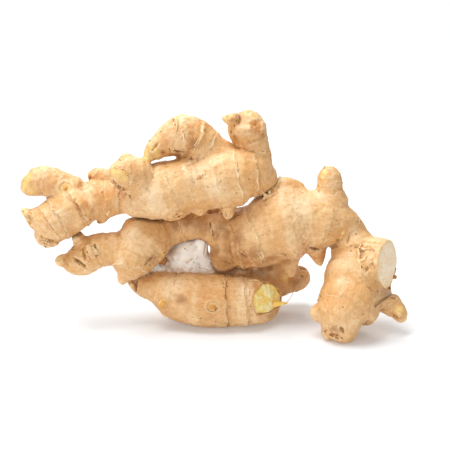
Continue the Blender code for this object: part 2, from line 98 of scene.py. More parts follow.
# The lobes of the three branches
# Each lobe is a swelling or a finger, given by its spine as (x, y, z, radius) in millimetres, from
# its root to its tip, and by its leaf rings, counted in spine points. The spines are the solid's.
BRANCHES = {
    "upper_branch": {
        "upper_body": ([(-46, 6.5, 63.5, 7), (-41, 6.5, 63.8, 7.6), (-35, 6.5, 65.8, 11.4),
            (-28.5, 5.5, 69.5, 15), (-22, 5.5, 71, 15.5), (-14, 5.5, 74, 13.8),
            (-7, 5.5, 74.5, 13.8), (1, 6, 76.5, 15), (9, 6.5, 77.5, 15.3), (18.5, 7.5, 78.4, 13.4),
            (25.5, 8.5, 74.8, 10.2), (30, 9.5, 71, 7.4)], (4.2, 5.4, 7, 8.3, 9.3)),
        "upper_body_nub": ([(-7, 2.5, 65, 6), (-7.5, -0.5, 59, 3)], ()),
        "upper_body_point": ([(7, 3.5, 64.5, 5), (7, 0.5, 57, 1.8)], ()),
        "outer_body": ([(-35.5, 10.5, 65.8, 9), (-47.5, 10.5, 65.8, 8.6), (-56, 9.5, 64.9, 9.8),
            (-64, 8.5, 65.2, 10.6), (-71.5, 7.5, 66.5, 10.8)], (0.9, 2, 3.2)),
        "outer_body_point": ([(-57.5, 6.5, 59, 5), (-58, 5.5, 53, 1.6)], ()),
        "outer_upper_finger": ([(-69, 7.5, 67.5, 9.8), (-76, 7.5, 70.8, 8.4),
            (-83, 7.5, 74.5, 7.8), (-88, 7.5, 75.3, 7.7), (-93.5, 6.5, 72.9, 6.2),
            (-98.5, 6.5, 69.6, 4.4)], (1.6, 2.7, 3.4)),
        "outer_lower_finger": ([(-63.5, 5.5, 67.5, 10.5), (-71.5, 3.5, 62, 11.5),
            (-79, 1.5, 57.5, 11.3), (-85, -0.5, 54, 10.6), (-90.5, -1.5, 50.5, 8)],
            (0.8, 2.1, 2.9)),
        "outer_lower_stub": ([(-84.5, -0.5, 50.5, 7.8), (-87.5, -2.5, 43, 6.3)], (0.6,)),
        "outer_lower_shoulder": ([(-86.5, 0.5, 57.5, 6.7), (-95.5, -0.5, 57, 5.3)], (0.6,)),
        "outer_lower_scale": ([(-92, -0.5, 58.5, 4), (-98, -0.5, 63, 1.1)], ()),
        "middle_knob": ([(-35, 5.5, 73.5, 8), (-39.5, -0.5, 80, 9.5), (-44, -5.5, 82.6, 8.2),
            (-51.5, -11.5, 85, 4.4)], (0.9, 1.7, 2.3)),
        "middle_knob_top": ([(-42.5, 3.5, 84, 6), (-45.5, 3.5, 91, 3.3)], (0.5,)),
        "small_bud": ([(-53, 15.5, 73.5, 4.6), (-59, 15.5, 75.5, 4.1), (-65.5, 15.5, 76.5, 2.9)],
            (0.8, 1.4)),
        "hooked_finger": ([(13.5, 9.5, 82, 7.3), (9, 9.5, 84.5, 7.4), (4, 10, 87, 8.8),
            (-1, 10.5, 89.5, 9.4), (-5.5, 10.5, 93, 10.2), (-9.5, 10.5, 96, 10.8),
            (-15.5, 10, 98, 10.9), (-21, 9, 97, 9.5), (-26, 7.5, 94.5, 7.1), (-31, 5.5, 91, 4.7),
            (-34.5, 2.5, 87.5, 2.2)], (3.8, 5, 6.3, 9)),
        "upright_finger": ([(22.3, 9.5, 79.5, 8.6), (20.8, 11.5, 90, 8.1), (19, 12, 95, 8.6),
            (17, 12.5, 101, 9.9), (16.6, 12.5, 106, 9.8), (16.2, 11.5, 110.4, 8.2)], (0.9, 2, 3.6)),
        "upright_finger_scale": ([(12, 10, 106, 5.2), (4, 7.5, 108.5, 0.9)], ()),
        "back_bud": ([(-64, 11.5, 65, 8), (-68, 21.5, 62, 4.5)], (0.6,)),
    },
    "middle_branch": {
        "lower_body": ([(5, 10.5, 40.5, 9), (10, 10.5, 42, 14.5), (17.5, 9.5, 44, 16.3),
            (24.5, 8.5, 46.5, 16.9), (33, 8.5, 51, 19.5), (40, 7.5, 54, 20), (48, 6.5, 55.6, 14.9),
            (56.5, 5.5, 54, 13.8), (64, 5.5, 52, 11.2), (70, 5.5, 47.5, 9.2), (76, 4.5, 41.5, 9)],
            (0.9, 1.65, 2.75, 4, 5.6, 7.2, 8.6)),
        "lower_body_crown": ([(29, 10.5, 62, 5.2), (34.5, 11, 69, 6.8), (40, 11, 68, 7.2),
            (46, 10.5, 63, 6.6)], ()),
        "lower_body_heel": ([(10, 10.5, 41, 13), (6.5, 9.5, 34, 9.3), (5, 7.5, 25, 7)], (1.2,)),
        "neck": ([(13.5, 11.5, 43.5, 14), (4, 12.5, 48, 12), (-6, 14.5, 49.5, 8.2),
            (-17, 15.5, 49, 9), (-27.5, 13.5, 47, 10.5), (-34.5, 8.5, 43, 11)], (1.2, 2.1, 3, 4)),
        "left_knob": ([(-26, 13.5, 49, 10), (-35.5, 7.5, 43.7, 13.6), (-41, 3.5, 37, 12.2),
            (-43.5, -0.5, 31.5, 10.7), (-45, -1.5, 25, 6.2)], (1.6, 2.6, 3.4)),
        "left_knob_crown": ([(-36, 8.5, 45.5, 8.5), (-42.5, 8.5, 50.5, 7), (-46, 8.5, 54, 5.6)],
            ()),
        "left_knob_bud": ([(-46.5, -1.5, 28.5, 4.5), (-48, -2.5, 22, 1.8)], ()),
        "left_knob_lobe": ([(-29, 10.5, 41, 7), (-26.5, 6.5, 36.5, 4.2)], ()),
        "low_finger": ([(-46.5, 5.5, 40.5, 9), (-55, 4.5, 39.5, 8.6), (-61.5, 3.5, 39, 9),
            (-68, 2.5, 35, 8.6), (-73, 1.5, 33, 6.8), (-78.5, 0.5, 31.5, 4.5)], (1.4, 2.5, 3.3)),
        "low_finger_tip": ([(-74.5, 0.5, 34.5, 4), (-82, -1.5, 35.5, 2.6)], ()),
        "low_finger_knuckle": ([(-66.5, 3.5, 41.5, 5.8), (-69.5, 3.5, 45.5, 3.9),
            (-71, 3.5, 50.5, 2.3)], ()),
        "right_finger": ([(61.5, 6.5, 60, 9.5), (59.5, 8.5, 69, 7), (59, 9.5, 75.5, 6.3),
            (58, 9.5, 83, 5)], (0.9, 1.7, 2.4)),
        "hanging_tooth": ([(51.5, 5.5, 44, 6), (53, 3.5, 39.5, 5.3), (54, 2.5, 35.5, 3.6),
            (55, 1.5, 31.5, 1.3)], (1,)),
        "hanging_nub": ([(34, 7.5, 44.5, 11), (37, 6.5, 38, 8.4), (39, 5.5, 33, 5.6),
            (39.5, 5.5, 29, 3.8), (39.5, 4.5, 23.5, 2.3)], (1.6, 2.6)),
        "right_body": ([(67, 4.5, 48, 10), (71, 2.5, 41, 12), (72.5, -0.5, 34.5, 13.6),
            (71.5, -5.5, 28, 15), (70.5, -10.5, 20.5, 15.5), (68, -15.5, 16, 15.9),
            (65.5, -19.5, 11, 13.5), (66, -22.5, 5.5, 9), (68, -24.5, -0.5, 6)],
            (0.9, 2.4, 4, 5.4, 6.6)),
        "right_body_shoulder": ([(57, -16.5, 13, 6.6), (48.5, -17.5, 12.5, 3.6)], ()),
        "right_body_foot": ([(60, -19.5, 6.5, 6), (57, -23.5, 1, 4)], ()),
        "cut_stump": ([(73, 2.5, 35.5, 13), (80, -2.5, 34.8, 13.4), (87.5, -8.5, 35.5, 13.2),
            (94.5, -14.5, 36, 13)], (0.6,)),
        "right_small_finger": ([(82, -7.5, 21.5, 9), (87, -9.5, 17.5, 7), (91, -10.5, 14, 5.7),
            (94.5, -12.5, 11, 4.2), (97, -14.5, 6.5, 2.4)], (0.8, 1.5, 2.3)),
        "back_knob": ([(38, 11.5, 51, 14), (35, 21.5, 50, 11.5), (31, 30.5, 47, 7.5)], (0.9, 1.5)),
    },
    "lower_branch": {
        "front_finger": ([(-45.5, 6.5, 23.5, 1.8), (-41.5, 4.5, 21.5, 3.8), (-37, 3.5, 19.5, 5.6),
            (-29, 1.5, 18.6, 8.7), (-20, -0.5, 15.4, 12), (-10, -1.5, 13.8, 13.5),
            (0.5, -1.5, 13.3, 13.7), (10.5, -1.5, 13, 13.2), (19.5, -1.5, 13, 12.3),
            (28, -1.5, 13, 10.8), (36, -1.5, 13, 9)], (2.2, 3.6, 6.45, 7.5, 8.6)),
        "front_finger_bud": ([(-25, -3.5, 15, 6), (-26, -11, 15, 3)], ()),
        "front_finger_eye": ([(-0.5, -8.5, 14, 6), (-0.5, -16, 14.5, 3.6)], ()),
        "back_hump": ([(-10.5, 15.5, 13, 13), (-13, 20.5, 21, 10), (-15.5, 16.5, 30.5, 11.5),
            (-15, 15.5, 35.5, 9), (-16, 15.5, 42, 6.2)], (1.2, 2.6)),
        "back_hump_crest": ([(-39, 4.5, 20, 4), (-32.5, 7.5, 28, 4.3), (-27.5, 8.5, 26, 4.2),
            (-21.5, 9.5, 23, 4.6), (-12, 9.5, 22, 5), (3, 9.5, 20.5, 5)], ()),
        "back_hump_ear": ([(-10.5, 14.5, 33, 7), (-7, 13.5, 39.5, 4.4), (-4.6, 13.5, 44.8, 1.7)],
            ()),
        "back_hump_shoulder": ([(-5, 14.5, 23.5, 7.6), (-6.8, 13.5, 31, 5.6),
            (-7.6, 13.5, 36, 4.6)], ()),
        "back_finger": ([(0, 13.5, 13.5, 12), (13.5, 17.5, 10.5, 11), (23, 19.5, 13.5, 10),
            (32, 21.5, 15, 8.6), (39, 22.5, 16, 7.8), (45, 23.5, 16.5, 7), (51.5, 23.5, 17, 5.5)],
            (1.6, 2.7, 3.8, 5)),
        "hidden_joint": ([(13, 14.5, 36, 10), (8.5, 15.5, 27, 11), (9, 14.5, 14, 10)], ()),
        "hidden_joint_right": ([(29, 18.5, 38, 9), (32, 20.5, 25, 8), (34, 21.5, 14, 6.6)], ()),
        "hidden_foot": ([(-11, 15.5, 12, 10), (-17, 18.5, 9.4, 9.8), (-24, 21.5, 9, 8)], (1.2,)),
    },
}


def blend(a, b, c, d, t):
    """A smooth curve's value between b and c, with a and d as its neighbours."""
    return 0.5 * (2 * b + (c - a) * t + (2 * a - 5 * b + 4 * c - d) * t * t
                  + (3 * b - a - 3 * c + d) * t * t * t)


SAMPLE_STEP = 0.8 * MM
TUBE_SIDES_RESOLUTION = 10
LEAST_RADIUS = 0.35 * MM
ROOT_DOME = 0.5
RING_GAP = 9 * MM
FIRST_WAY_ACROSS = (0.13, 0.21, 0.97)


class Lobe:
    """A lobe's smooth spine: places, radii, lengths from the root, and two directions across."""

    def __init__(self, name, points, rings):
        self.name = name
        rows = [Vector(p) * MM for p in points]
        rows = [rows[0] * 2 - rows[1], *rows, rows[-1] * 2 - rows[-2]]
        path, counts = [], []
        for i in range(1, len(rows) - 2):
            steps = max(2, math.ceil((rows[i + 1].xyz - rows[i].xyz).length / SAMPLE_STEP))
            for k in range(steps):
                path.append(blend(*rows[i - 1:i + 3], k / steps))
                counts.append(i - 1 + k / steps)
        path.append(rows[-2])
        counts.append(len(points) - 1)
        self.centres = np.array([p.xyz for p in path])
        body = np.array([p.w for p in path])
        pieces = np.linalg.norm(np.diff(self.centres, axis=0), axis=1)
        self.along = np.concatenate([[0.0], np.cumsum(pieces)])
        dome = np.minimum(self.along / (ROOT_DOME * body), (self.along[-1] - self.along) / body)
        rounded = body * np.sqrt(1 - (1 - np.clip(dome, 0, 1)) ** 2)
        self.radii = np.maximum(LEAST_RADIUS, rounded)
        self.rings = np.interp(rings, counts, self.along) if rings else np.array([])
        self.tangents = np.gradient(self.centres, axis=0)
        self.tangents /= np.linalg.norm(self.tangents, axis=1)[:, None]
        side = np.cross(self.tangents[0], FIRST_WAY_ACROSS)
        self.sides = np.empty_like(self.centres)
        for i, tangent in enumerate(self.tangents):
            side = side - tangent * side.dot(tangent)
            side /= np.linalg.norm(side)
            self.sides[i] = side
        self.ups = np.cross(self.tangents, self.sides)

    def tube(self):
        """The lobe as a closed tube of changing radius, blunt at its root and round at its tip."""
        curve = bpy.data.curves.new(self.name, "CURVE")
        curve.dimensions = "3D"
        curve.bevel_depth = MM
        curve.bevel_resolution = TUBE_SIDES_RESOLUTION
        curve.use_fill_caps = True
        spline = curve.splines.new("POLY")
        spline.points.add(len(self.centres) - 1)
        for point, centre, radius in zip(spline.points, self.centres, self.radii):
            point.co = (*centre, 1.0)
            point.radius = radius / MM
        made = bpy.data.objects.new(self.name, curve)
        bpy.context.scene.collection.objects.link(made)
        return made


# Small nubs
# Root stubs and dead buds that stand out along the undersides and at the torn ends. Each is placed
# by the pixel where it leaves the skin and the pixel that it points to, with its length and its
# radius at root and tip in millimetres.
NUBS = {
    "upper_branch": [
        ((108, 212), (107, 219), 3, 2, 0.8), ((38, 239), (37, 244), 2.5, 1.8, 1),
        ((48, 244), (48, 250), 2.8, 1.9, 1.1), ((56, 243), (58, 249), 2.6, 1.7, 0.9),
        ((170, 216), (169, 223), 2.6, 2.4, 1.6), ((194, 211), (195, 218), 3, 2.8, 1.7),
        ((174, 120), (173, 113), 2.4, 2.8, 1.4), ((182, 212), (181, 218), 2, 2.2, 1.1),
    ],
    "middle_branch": [
        ((98, 266), (98, 272), 2.6, 2.2, 1.1), ((76, 239), (73, 232), 2.2, 2.4, 1.2),
        ((324, 332), (322, 338), 2, 2, 1), ((334, 331), (333, 337), 2, 2, 1),
        ((398, 314), (403, 320), 3, 2, 0.8), ((126, 279), (120, 284), 1.6, 1.6, 0.8),
    ],
    "lower_branch": [
        ((133, 285), (129, 283), 2, 1.8, 0.9), ((137, 291), (133, 294), 2.2, 1.6, 0.8),
    ],
}
NUB_LEAN = 0.35
NUB_SUNK = 0.6


def picture_step(start, end):
    """The way across the picture, in space, from one pixel to another."""
    turn = camera.matrix_world.to_3x3()
    return (turn @ Vector((end[0] - start[0], start[1] - end[1], 0))).normalized()


cad_surface = BVHTree.FromObject(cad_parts["ginger_root"],
                                 bpy.context.evaluated_depsgraph_get())


def nub_lobe(name, pixel, toward, length, root_radius, tip_radius):
    """A nub as a short lobe that leaves the solid's skin where the camera sees the pixel."""
    place, normal = seen_on([cad_surface], *pixel)
    way = (picture_step(pixel, toward) + normal * NUB_LEAN).normalized()
    start = place - normal * root_radius * MM * NUB_SUNK
    end = place + way * (length - tip_radius) * MM
    return Lobe(name, [(*(start / MM), root_radius), (*(end / MM), tip_radius)], ())


# The skin of the branches
# A ginger root forks again and again, and its fingers swell until they press on each other. Its
# skin is a thin dry bark, creased where lobes meet, stepped at each leaf ring and finely wrinkled.
# Its large lobes are joined first, with wide fillets, and its small ones with narrow ones. A crisp
# lobe counts as small and a soft one as large, whatever their size.
VOXELS = {"upper_branch": 0.52 * MM, "middle_branch": 0.585 * MM, "lower_branch": 0.5 * MM}
CREASE_SMOOTHING = 0.5
CREASE_PASSES = 4
ROUGH_VOXEL = 0.8 * MM
SMALL_LOBE = 6.6 * MM
CRISP_LOBES = ("upright_finger",)
SOFT_LOBES = ("back_hump_ear", "back_hump_shoulder", "back_hump_crest")
CREASE_FILLET = 2.4 * MM
SMALL_FILLET = 1.1 * MM
NORMALS_KEPT_FOR = 5
CLOUD_DEPTH = 2
LUMP_WIDTH = 11.0 * MM
LUMP_HEIGHT = 1.2 * MM
DIMPLE_WIDTH = 3.4 * MM
DIMPLE_HEIGHT = 0.65 * MM


def deselect():
    bpy.ops.object.select_all(action="DESELECT")


def only(obj):
    """Makes one object the selected and the active one."""
    deselect()
    obj.select_set(True)
    bpy.context.view_layer.objects.active = obj


def apply_all(obj):
    """Makes the modifiers' result the object's own mesh."""
    only(obj)
    for modifier in list(obj.modifiers):
        bpy.ops.object.modifier_apply(modifier=modifier.name)


def join(objects, name):
    """One mesh object from several."""
    deselect()
    for obj in objects:
        obj.select_set(True)
    bpy.context.view_layer.objects.active = objects[0]
    bpy.ops.object.join()
    objects[0].name = objects[0].data.name = name
    return objects[0]


def add_modifier(obj, name, kind, **settings):
    """Adds a modifier with its settings."""
    modifier = obj.modifiers.new(name, kind)
    for what, value in settings.items():
        setattr(modifier, what, value)


def raise_clouds(obj, name, width, height):
    """Adds a modifier that raises soft, uneven lumps."""
    texture = bpy.data.textures.new(name, "CLOUDS")
    texture.noise_scale = width
    texture.noise_depth = CLOUD_DEPTH
    add_modifier(obj, name, "DISPLACE", texture=texture, texture_coords="LOCAL", strength=height,
                 mid_level=0.5)


def numbers(items, what, width=3):
    """One property of many mesh elements as an array."""
    values = np.empty(len(items) * width)
    items.foreach_get(what, values)
    return values.reshape(-1, width) if width > 1 else values


def neighbours(mesh):
    """The two ends of every edge, and how many edges each vertex has."""
    ends = np.empty(len(mesh.edges) * 2, int)
    mesh.edges.foreach_get("vertices", ends)
    a, b = ends.reshape(-1, 2).T
    size = len(mesh.vertices)
    return a, b, np.maximum(np.bincount(a, minlength=size) + np.bincount(b, minlength=size), 1)


def neighbour_means(points, a, b, counts):
    """The middle of each point's neighbours."""
    total = [np.bincount(a, points[b, i], len(points)) + np.bincount(b, points[a, i], len(points))
             for i in range(3)]
    return np.stack(total, axis=1) / counts[:, None]


def set_places(mesh, points):
    """Moves a mesh's vertices to the given places."""
    mesh.vertices.foreach_set("co", points.ravel())
    mesh.update()


def fill_creases(obj, voxel, fillet):
    """Fills the creases between lobes with a fillet, and moves nothing else."""
    a, b, counts = neighbours(obj.data)
    points = numbers(obj.data.vertices, "co")
    for i in range(round((fillet / voxel) ** 2)):
        if i % NORMALS_KEPT_FOR == 0:
            set_places(obj.data, points)
            normals = numbers(obj.data.vertices, "normal")
        lift = ((neighbour_means(points, a, b, counts) - points) * normals).sum(1)
        points += normals * np.maximum(lift, 0)[:, None]
    set_places(obj.data, points)


def as_skin(tubes, extra, name, voxel):
    """One closed, slightly softened mesh from tubes, and from a mesh that is there already."""
    only(tubes[0])
    for tube in tubes:
        tube.select_set(True)
    bpy.ops.object.convert(target="MESH")
    skin = join([*tubes, *extra], name)
    add_modifier(skin, "join", "REMESH", mode="VOXEL", voxel_size=voxel)
    add_modifier(skin, "soften", "SMOOTH", factor=CREASE_SMOOTHING, iterations=CREASE_PASSES)
    apply_all(skin)
    return skin


def grow(name, lobes):
    """Joins a branch's large lobes with wide fillets, then its small ones with narrow fillets."""
    small = [lobe for lobe in lobes if lobe.name not in SOFT_LOBES
             and (lobe.name in CRISP_LOBES or lobe.radii.max() <= SMALL_LOBE)]
    large = [lobe for lobe in lobes if lobe not in small]
    body = as_skin([lobe.tube() for lobe in large], [], name + "_body", ROUGH_VOXEL)
    fill_creases(body, ROUGH_VOXEL, CREASE_FILLET)
    skin = as_skin([lobe.tube() for lobe in small], [body], name, VOXELS[name])
    fill_creases(skin, VOXELS[name], SMALL_FILLET)
    raise_clouds(skin, "lumps", LUMP_WIDTH, LUMP_HEIGHT)
    raise_clouds(skin, "dimples", DIMPLE_WIDTH, DIMPLE_HEIGHT)
    apply_all(skin)
    return skin


def surface_of(obj):
    """The object's mesh as a tree that lines of sight can be cast at."""
    return BVHTree.FromObject(obj, bpy.context.evaluated_depsgraph_get())


branch_lobes, skins = {}, {}
for name, spines in BRANCHES.items():
    lobes = [Lobe(lobe, *spine) for lobe, spine in spines.items()]
    lobes += [nub_lobe(f"{name}_nub_{i + 1}", *nub) for i, nub in enumerate(NUBS[name])]
    branch_lobes[name] = lobes
    skins[name] = grow(name, lobes)


# Leaf rings and buds in relief
# A leaf scale once clasped the finger at each ring: the skin rises to it and steps down beyond it.
# A bud, or the scar of one, is a low wall with a dip inside and a crust in the middle.
RING_RISE = 4.0 * MM
RING_HEIGHT = 0.50 * MM
RING_GROOVE = 0.20 * MM
RING_STEP = (-0.1 * MM, 0.75 * MM)
GROOVE_PLACE, GROOVE_WIDTH = 1.0 * MM, 0.5 * MM
RING_CLEARANCE = 2 * MM
RING_SLANT = (0.02, 0.14)
RING_UNEVEN = 0.35 * MM
RING_WAVES = ((3, 0.45 * MM), (7, 0.28 * MM), (13, 0.20 * MM), (29, 0.12 * MM))
# The skin's own roughness: fibres run along a finger and folds round it
UNEVEN_SIZE, UNEVEN_HEIGHT = 1.6 * MM, 0.08 * MM
FIBRE_SIZE, FIBRE_HEIGHT, FIBRE_STRETCH = 1.3 * MM, 0.08 * MM, (1, 1, 0.12)
FOLD_SIZE, FOLD_HEIGHT, FOLD_STRETCH = 1.7 * MM, 0.14 * MM, (0.2, 0.2, 1)
FOLDS_OFF_RINGS = 0.5
# How pale, how brown and how high the rings are that show best, by lobe and ring, and the ranges
# from which the others' looks are drawn
PLAIN_RING_LOOKS = ((0.1, 0.4), (0.0, 0.4), (0.3, 0.7))
RING_LOOKS = {
    ("upper_body", 1): (0.45, 0.15, 0.4), ("upper_body", 2): (0.55, 0.10, 0.4),
    ("upper_body", 3): (0.75, 0.10, 0.3), ("upper_body", 4): (0.85, 0.05, 0.5),
    ("upper_body", 5): (0.95, 0.05, 0.6),
    ("outer_body", 1): (0.3, 0.5, 0.5), ("outer_body", 2): (0.2, 0.2, 0.4),
    ("outer_lower_finger", 1): (0.3, 1.0, 0.9), ("outer_lower_finger", 2): (0.5, 0.6, 0.9),
    ("outer_lower_stub", 1): (0.2, 1.0, 0.8),
    ("lower_body", 1): (0.2, 0.6, 0.6), ("lower_body", 2): (0.3, 0.5, 0.5),
    ("lower_body", 3): (0.9, 0.2, 0.7), ("lower_body", 4): (0.3, 0.1, 0.3),
    ("front_finger", 1): (0.3, 0.3, 0.5), ("front_finger", 2): (0.2, 0.3, 0.4),
    ("front_finger", 3): (0.3, 1.0, 0.9), ("front_finger", 4): (0.2, 0.6, 0.6),
    ("front_finger", 5): (0.4, 0.5, 0.5),
    ("left_knob", 1): (0.2, 0.3, 0.4), ("left_knob", 3): (0.8, 0.4, 0.6),
    ("hooked_finger", 1): (0.5, 0.2, 0.5), ("hooked_finger", 2): (0.8, 0.1, 0.7),
    ("hooked_finger", 3): (0.6, 0.2, 0.6),
    ("upright_finger", 1): (0.7, 0.2, 0.5), ("upright_finger", 2): (0.2, 0.5, 0.6),
    ("right_finger", 1): (0.4, 0.2, 0.5), ("right_finger", 2): (0.3, 0.3, 0.4),
    ("right_body", 2): (0.4, 0.4, 0.5), ("right_body", 4): (0.2, 0.3, 0.4),
}
# Buds and scars: pixel x and y, radius in millimetres, how many times longer than wide, and the
# angle of the long way in degrees. Those behind are given by a place in millimetres.
EYES = [(65.5, 188, 3.5, 1, 0), (212.5, 307, 3.1, 1.1, 0)]
EYES_BEHIND = [
    ((0, 30, 76), 2.6), ((-30, 25, 70), 2.4), ((45, 35, 60), 2.8), ((-20, 30, 14), 2.6),
    ((30, 30, 18), 2.4), ((85, 5, 30), 2.5), ((20, 10, 108), 2.2), ((70, 25, 45), 2.4),
    ((-60, 25, 66), 2.3), ((-12, 22, 98), 2.4),
]
# Pits and folds: the same, then the depth in millimetres, which is below zero for a fold.
DENTS = [
    (367, 256, 4.8, 1.9, 83, 0.7), (79, 262.5, 1.1, 5, -38, 1.6), (90, 251, 1.7, 3.2, -69, -1.3),
    (84, 252, 1.1, 5, -80, 1.2), (96, 250, 1, 5, -75, 1.1), (76, 239, 2, 1.6, 20, -1),
    (81, 233, 1, 3.5, 20, 1.2), (70, 250, 0.9, 4.8, 25, 1), (66, 262, 1, 4, -70, 0.35),
    (176, 124, 0.8, 6, -80, 0.8), (178, 152, 1.1, 3.5, 5, 0.8), (155, 147, 0.9, 6, 48, 0.8),
    (121, 187, 1, 5, -30, 1), (110, 176, 0.8, 4, 80, 0.7), (256, 127, 2.6, 1.6, 60, 0.4),
    (262, 131, 1.2, 2, 70, -0.4), (228, 129, 1.2, 3, -60, 1), (259, 195, 1.3, 3, -40, 1.1),
    (270, 191, 1.2, 4, 35, -1), (266, 199, 0.9, 5, 25, 0.9), (244, 256, 0.8, 9, -43, 0.7),
    (243, 267, 0.8, 12, -15, 0.7), (285, 255, 0.8, 8, -27, 0.7), (191, 260, 0.7, 5, 28, 0.6),
    (176, 265, 4, 2.2, -5, 1), (206, 246, 0.9, 5, 80, 0.6), (50, 241, 1, 6, -22, 1.3),
    (47, 246, 1, 3, 0, 0.9), (30, 217, 0.9, 7, 85, 1.4), (390, 291, 1.1, 5, 8, 1),
    (394, 298, 1, 4, 15, 0.9), (378, 291, 0.8, 3, 0, 0.5), (334, 335, 1.4, 5, -3, 0.7),
    (326, 329, 1.2, 3, 60, 0.9), (342, 330, 1.2, 3, 110, 0.9), (178, 300, 3, 1.8, 5, 0.5),
    (163, 303, 2.4, 1.3, 50, -0.7), (136, 285, 1, 5, 85, 0.9), (303, 268, 2, 1.6, 0, 1),
    (315, 249, 0.9, 4, -12, 0.9), (119, 159, 1.3, 1.4, 0, 0.8), (209, 232, 1, 8, 80, 0.35),
    (148, 262, 1, 5, 40, 0.5), (348, 240, 0.7, 6, 70, 0.3), (343, 234, 0.7, 6, 65, -0.3),
    (324, 168, 1, 3, 0, 0.7), (130, 196, 1.2, 9, 85, 0.5), (214, 211, 1.8, 3.4, 0, 1.2),
    (179, 217, 1.3, 3, -30, 1),
]
EYE_WALL = 0.24 * MM
EYE_UNEVEN = 0.09
# A bud in section: its wall, its dip and its crust, each by its place and its width in radii of the
# bud, and its height in heights of the wall
EYE_SECTION = ((0.97, 0.20, 1.0), (0.0, 0.62, -0.9), (0.0, 0.3, 0.8))
EYE_REACH = 3.0
DENT_UNEVEN = 0.22
DENT_EDGE = (0.55, 1.15)
DENT_RIM = 0.12 * MM
DENT_RIM_PLACE, DENT_RIM_WIDTH = 1.3, 0.25
MAPPED_AT_ONCE = 2000

random.seed(7)
ring_ways, ring_looks = {}, {}
for lobes in branch_lobes.values():
    for lobe in lobes:
        angle = random.uniform(0, 2 * math.pi)
        slant = random.uniform(*RING_SLANT)
        ring_ways[lobe.name] = (slant * math.cos(angle), slant * math.sin(angle),
                                random.uniform(0, 2 * math.pi))
        ring_looks[lobe.name] = [
            RING_LOOKS.get((lobe.name, k + 1), [random.uniform(*span) for span in PLAIN_RING_LOOKS])
            for k in range(len(lobe.rings))]


def ring_shift(name, side, up):
    """How far towards the tip a lobe's rings lie at places round it: they slant and waver."""
    lean_side, lean_up, phase = ring_ways[name]
    theta = np.arctan2(up, side)
    waver = sum(size * np.sin(count * theta + count * phase) for count, size in RING_WAVES)
    return lean_side * side + lean_up * up + waver


def smooth_step(low, high, values):
    t = np.clip((values - low) / (high - low), 0, 1)
    return t * t * (3 - 2 * t)


def bell(values, middle, width):
    """A smooth bump of height 1 round a middle."""
    return np.exp(-((values - middle) / width) ** 2)


def end_to_end(lobes, what):
    """One property of several lobes' spines, in one array."""
    return np.concatenate([getattr(lobe, what) for lobe in lobes])


class SkinMap:
    """Where each point of a branch's skin lies on its lobes."""

    def __init__(self, lobes, points):
        centres, radii = end_to_end(lobes, "centres"), end_to_end(lobes, "radii")
        lengths = [len(lobe.centres) for lobe in lobes]
        starts = np.cumsum([0, *lengths[:-1]])
        nearest = np.empty(len(points), int)
        self.clear = np.empty(len(points))
        for begin in range(0, len(points), MAPPED_AT_ONCE):
            some = slice(begin, begin + MAPPED_AT_ONCE)
            part = points[some]
            squares = ((part ** 2).sum(1)[:, None] + (centres ** 2).sum(1)[None]
                       - 2 * part @ centres.T)
            reach = np.sqrt(np.maximum(squares, 0)) - radii
            by_lobe = np.minimum.reduceat(reach, starts, axis=1)
            two = np.partition(by_lobe, 1, axis=1)
            nearest[some] = reach.argmin(axis=1)
            self.clear[some] = two[:, 1] - two[:, 0]
        self.lobe = np.repeat(np.arange(len(lobes)), lengths)[nearest]
        out = points - centres[nearest]
        along, self.side, self.up = [(out * end_to_end(lobes, what)[nearest]).sum(1)
                                     for what in ("tangents", "sides", "ups")]
        self.along = end_to_end(lobes, "along")[nearest] + along
        self.read_rings(lobes)

    def read_rings(self, lobes):
        """The distance past the nearest ring, the count of rings passed, and each ring's looks."""
        (self.past, self.near, self.count,
         self.cream, self.brown, self.lip) = np.zeros((6, len(self.along)))
        for i, lobe in enumerate(lobes):
            mine = self.lobe == i
            if not len(lobe.rings) or not mine.any():
                continue
            place = self.along[mine] - ring_shift(lobe.name, self.side[mine], self.up[mine])
            knots = np.concatenate([[lobe.rings[0] - RING_GAP], lobe.rings,
                                    [lobe.rings[-1] + RING_GAP]])
            count = np.interp(place, knots, np.arange(len(knots)))
            gap = np.interp(place, (knots[1:] + knots[:-1]) / 2, np.diff(knots))
            looks = np.array([(0, 0, 0), *ring_looks[lobe.name], (0, 0, 0)])
            looks = looks[np.rint(count).astype(int)]
            turn = 2 * math.pi * count
            self.past[mine] = np.sin(turn) * gap / (2 * math.pi)
            self.near[mine] = np.clip(np.cos(turn) * 2, 0, 1)
            self.count[mine] = count
            self.cream[mine], self.brown[mine], self.lip[mine] = looks.T


def noise_values(vectors, size):
    """Smooth noise between about -1 and 1, with features of the given size."""
    return np.array([noise.noise(v) for v in (vectors / size)])


def picture_way(angle):
    """The way in space that points at an angle, in degrees, across the picture."""
    turn = math.radians(angle)
    return picture_step((0, 0), (math.cos(turn), -math.sin(turn)))


def oval_on(surfaces, x, y, radius, stretch, angle):
    """An oval on the skin: its middle, its radius across, its long way and its stretch."""
    middle = np.array(seen_on(surfaces, x, y)[0])
    return middle, radius * MM, np.array(picture_way(angle)), stretch


def find_eyes(surfaces):
    """Every bud as an oval: those seen, then those behind."""
    found = [oval_on(surfaces, *eye) for eye in EYES]
    for place, radius in EYES_BEHIND:
        middle = np.array(nearest_on(surfaces, Vector(place) * MM)[0])
        found.append((middle, radius * MM, np.array((0.0, 0.0, 1.0)), 1.0))
    return found


def oval_distance(points, place, radius, way, stretch):
    """Each point's distance from an oval's middle, as a share of the way to its edge."""
    out = points - place
    squares = (out ** 2).sum(1) - (out @ way) ** 2 * (1 - 1 / stretch ** 2)
    return np.sqrt(np.maximum(squares, 0)) / radius


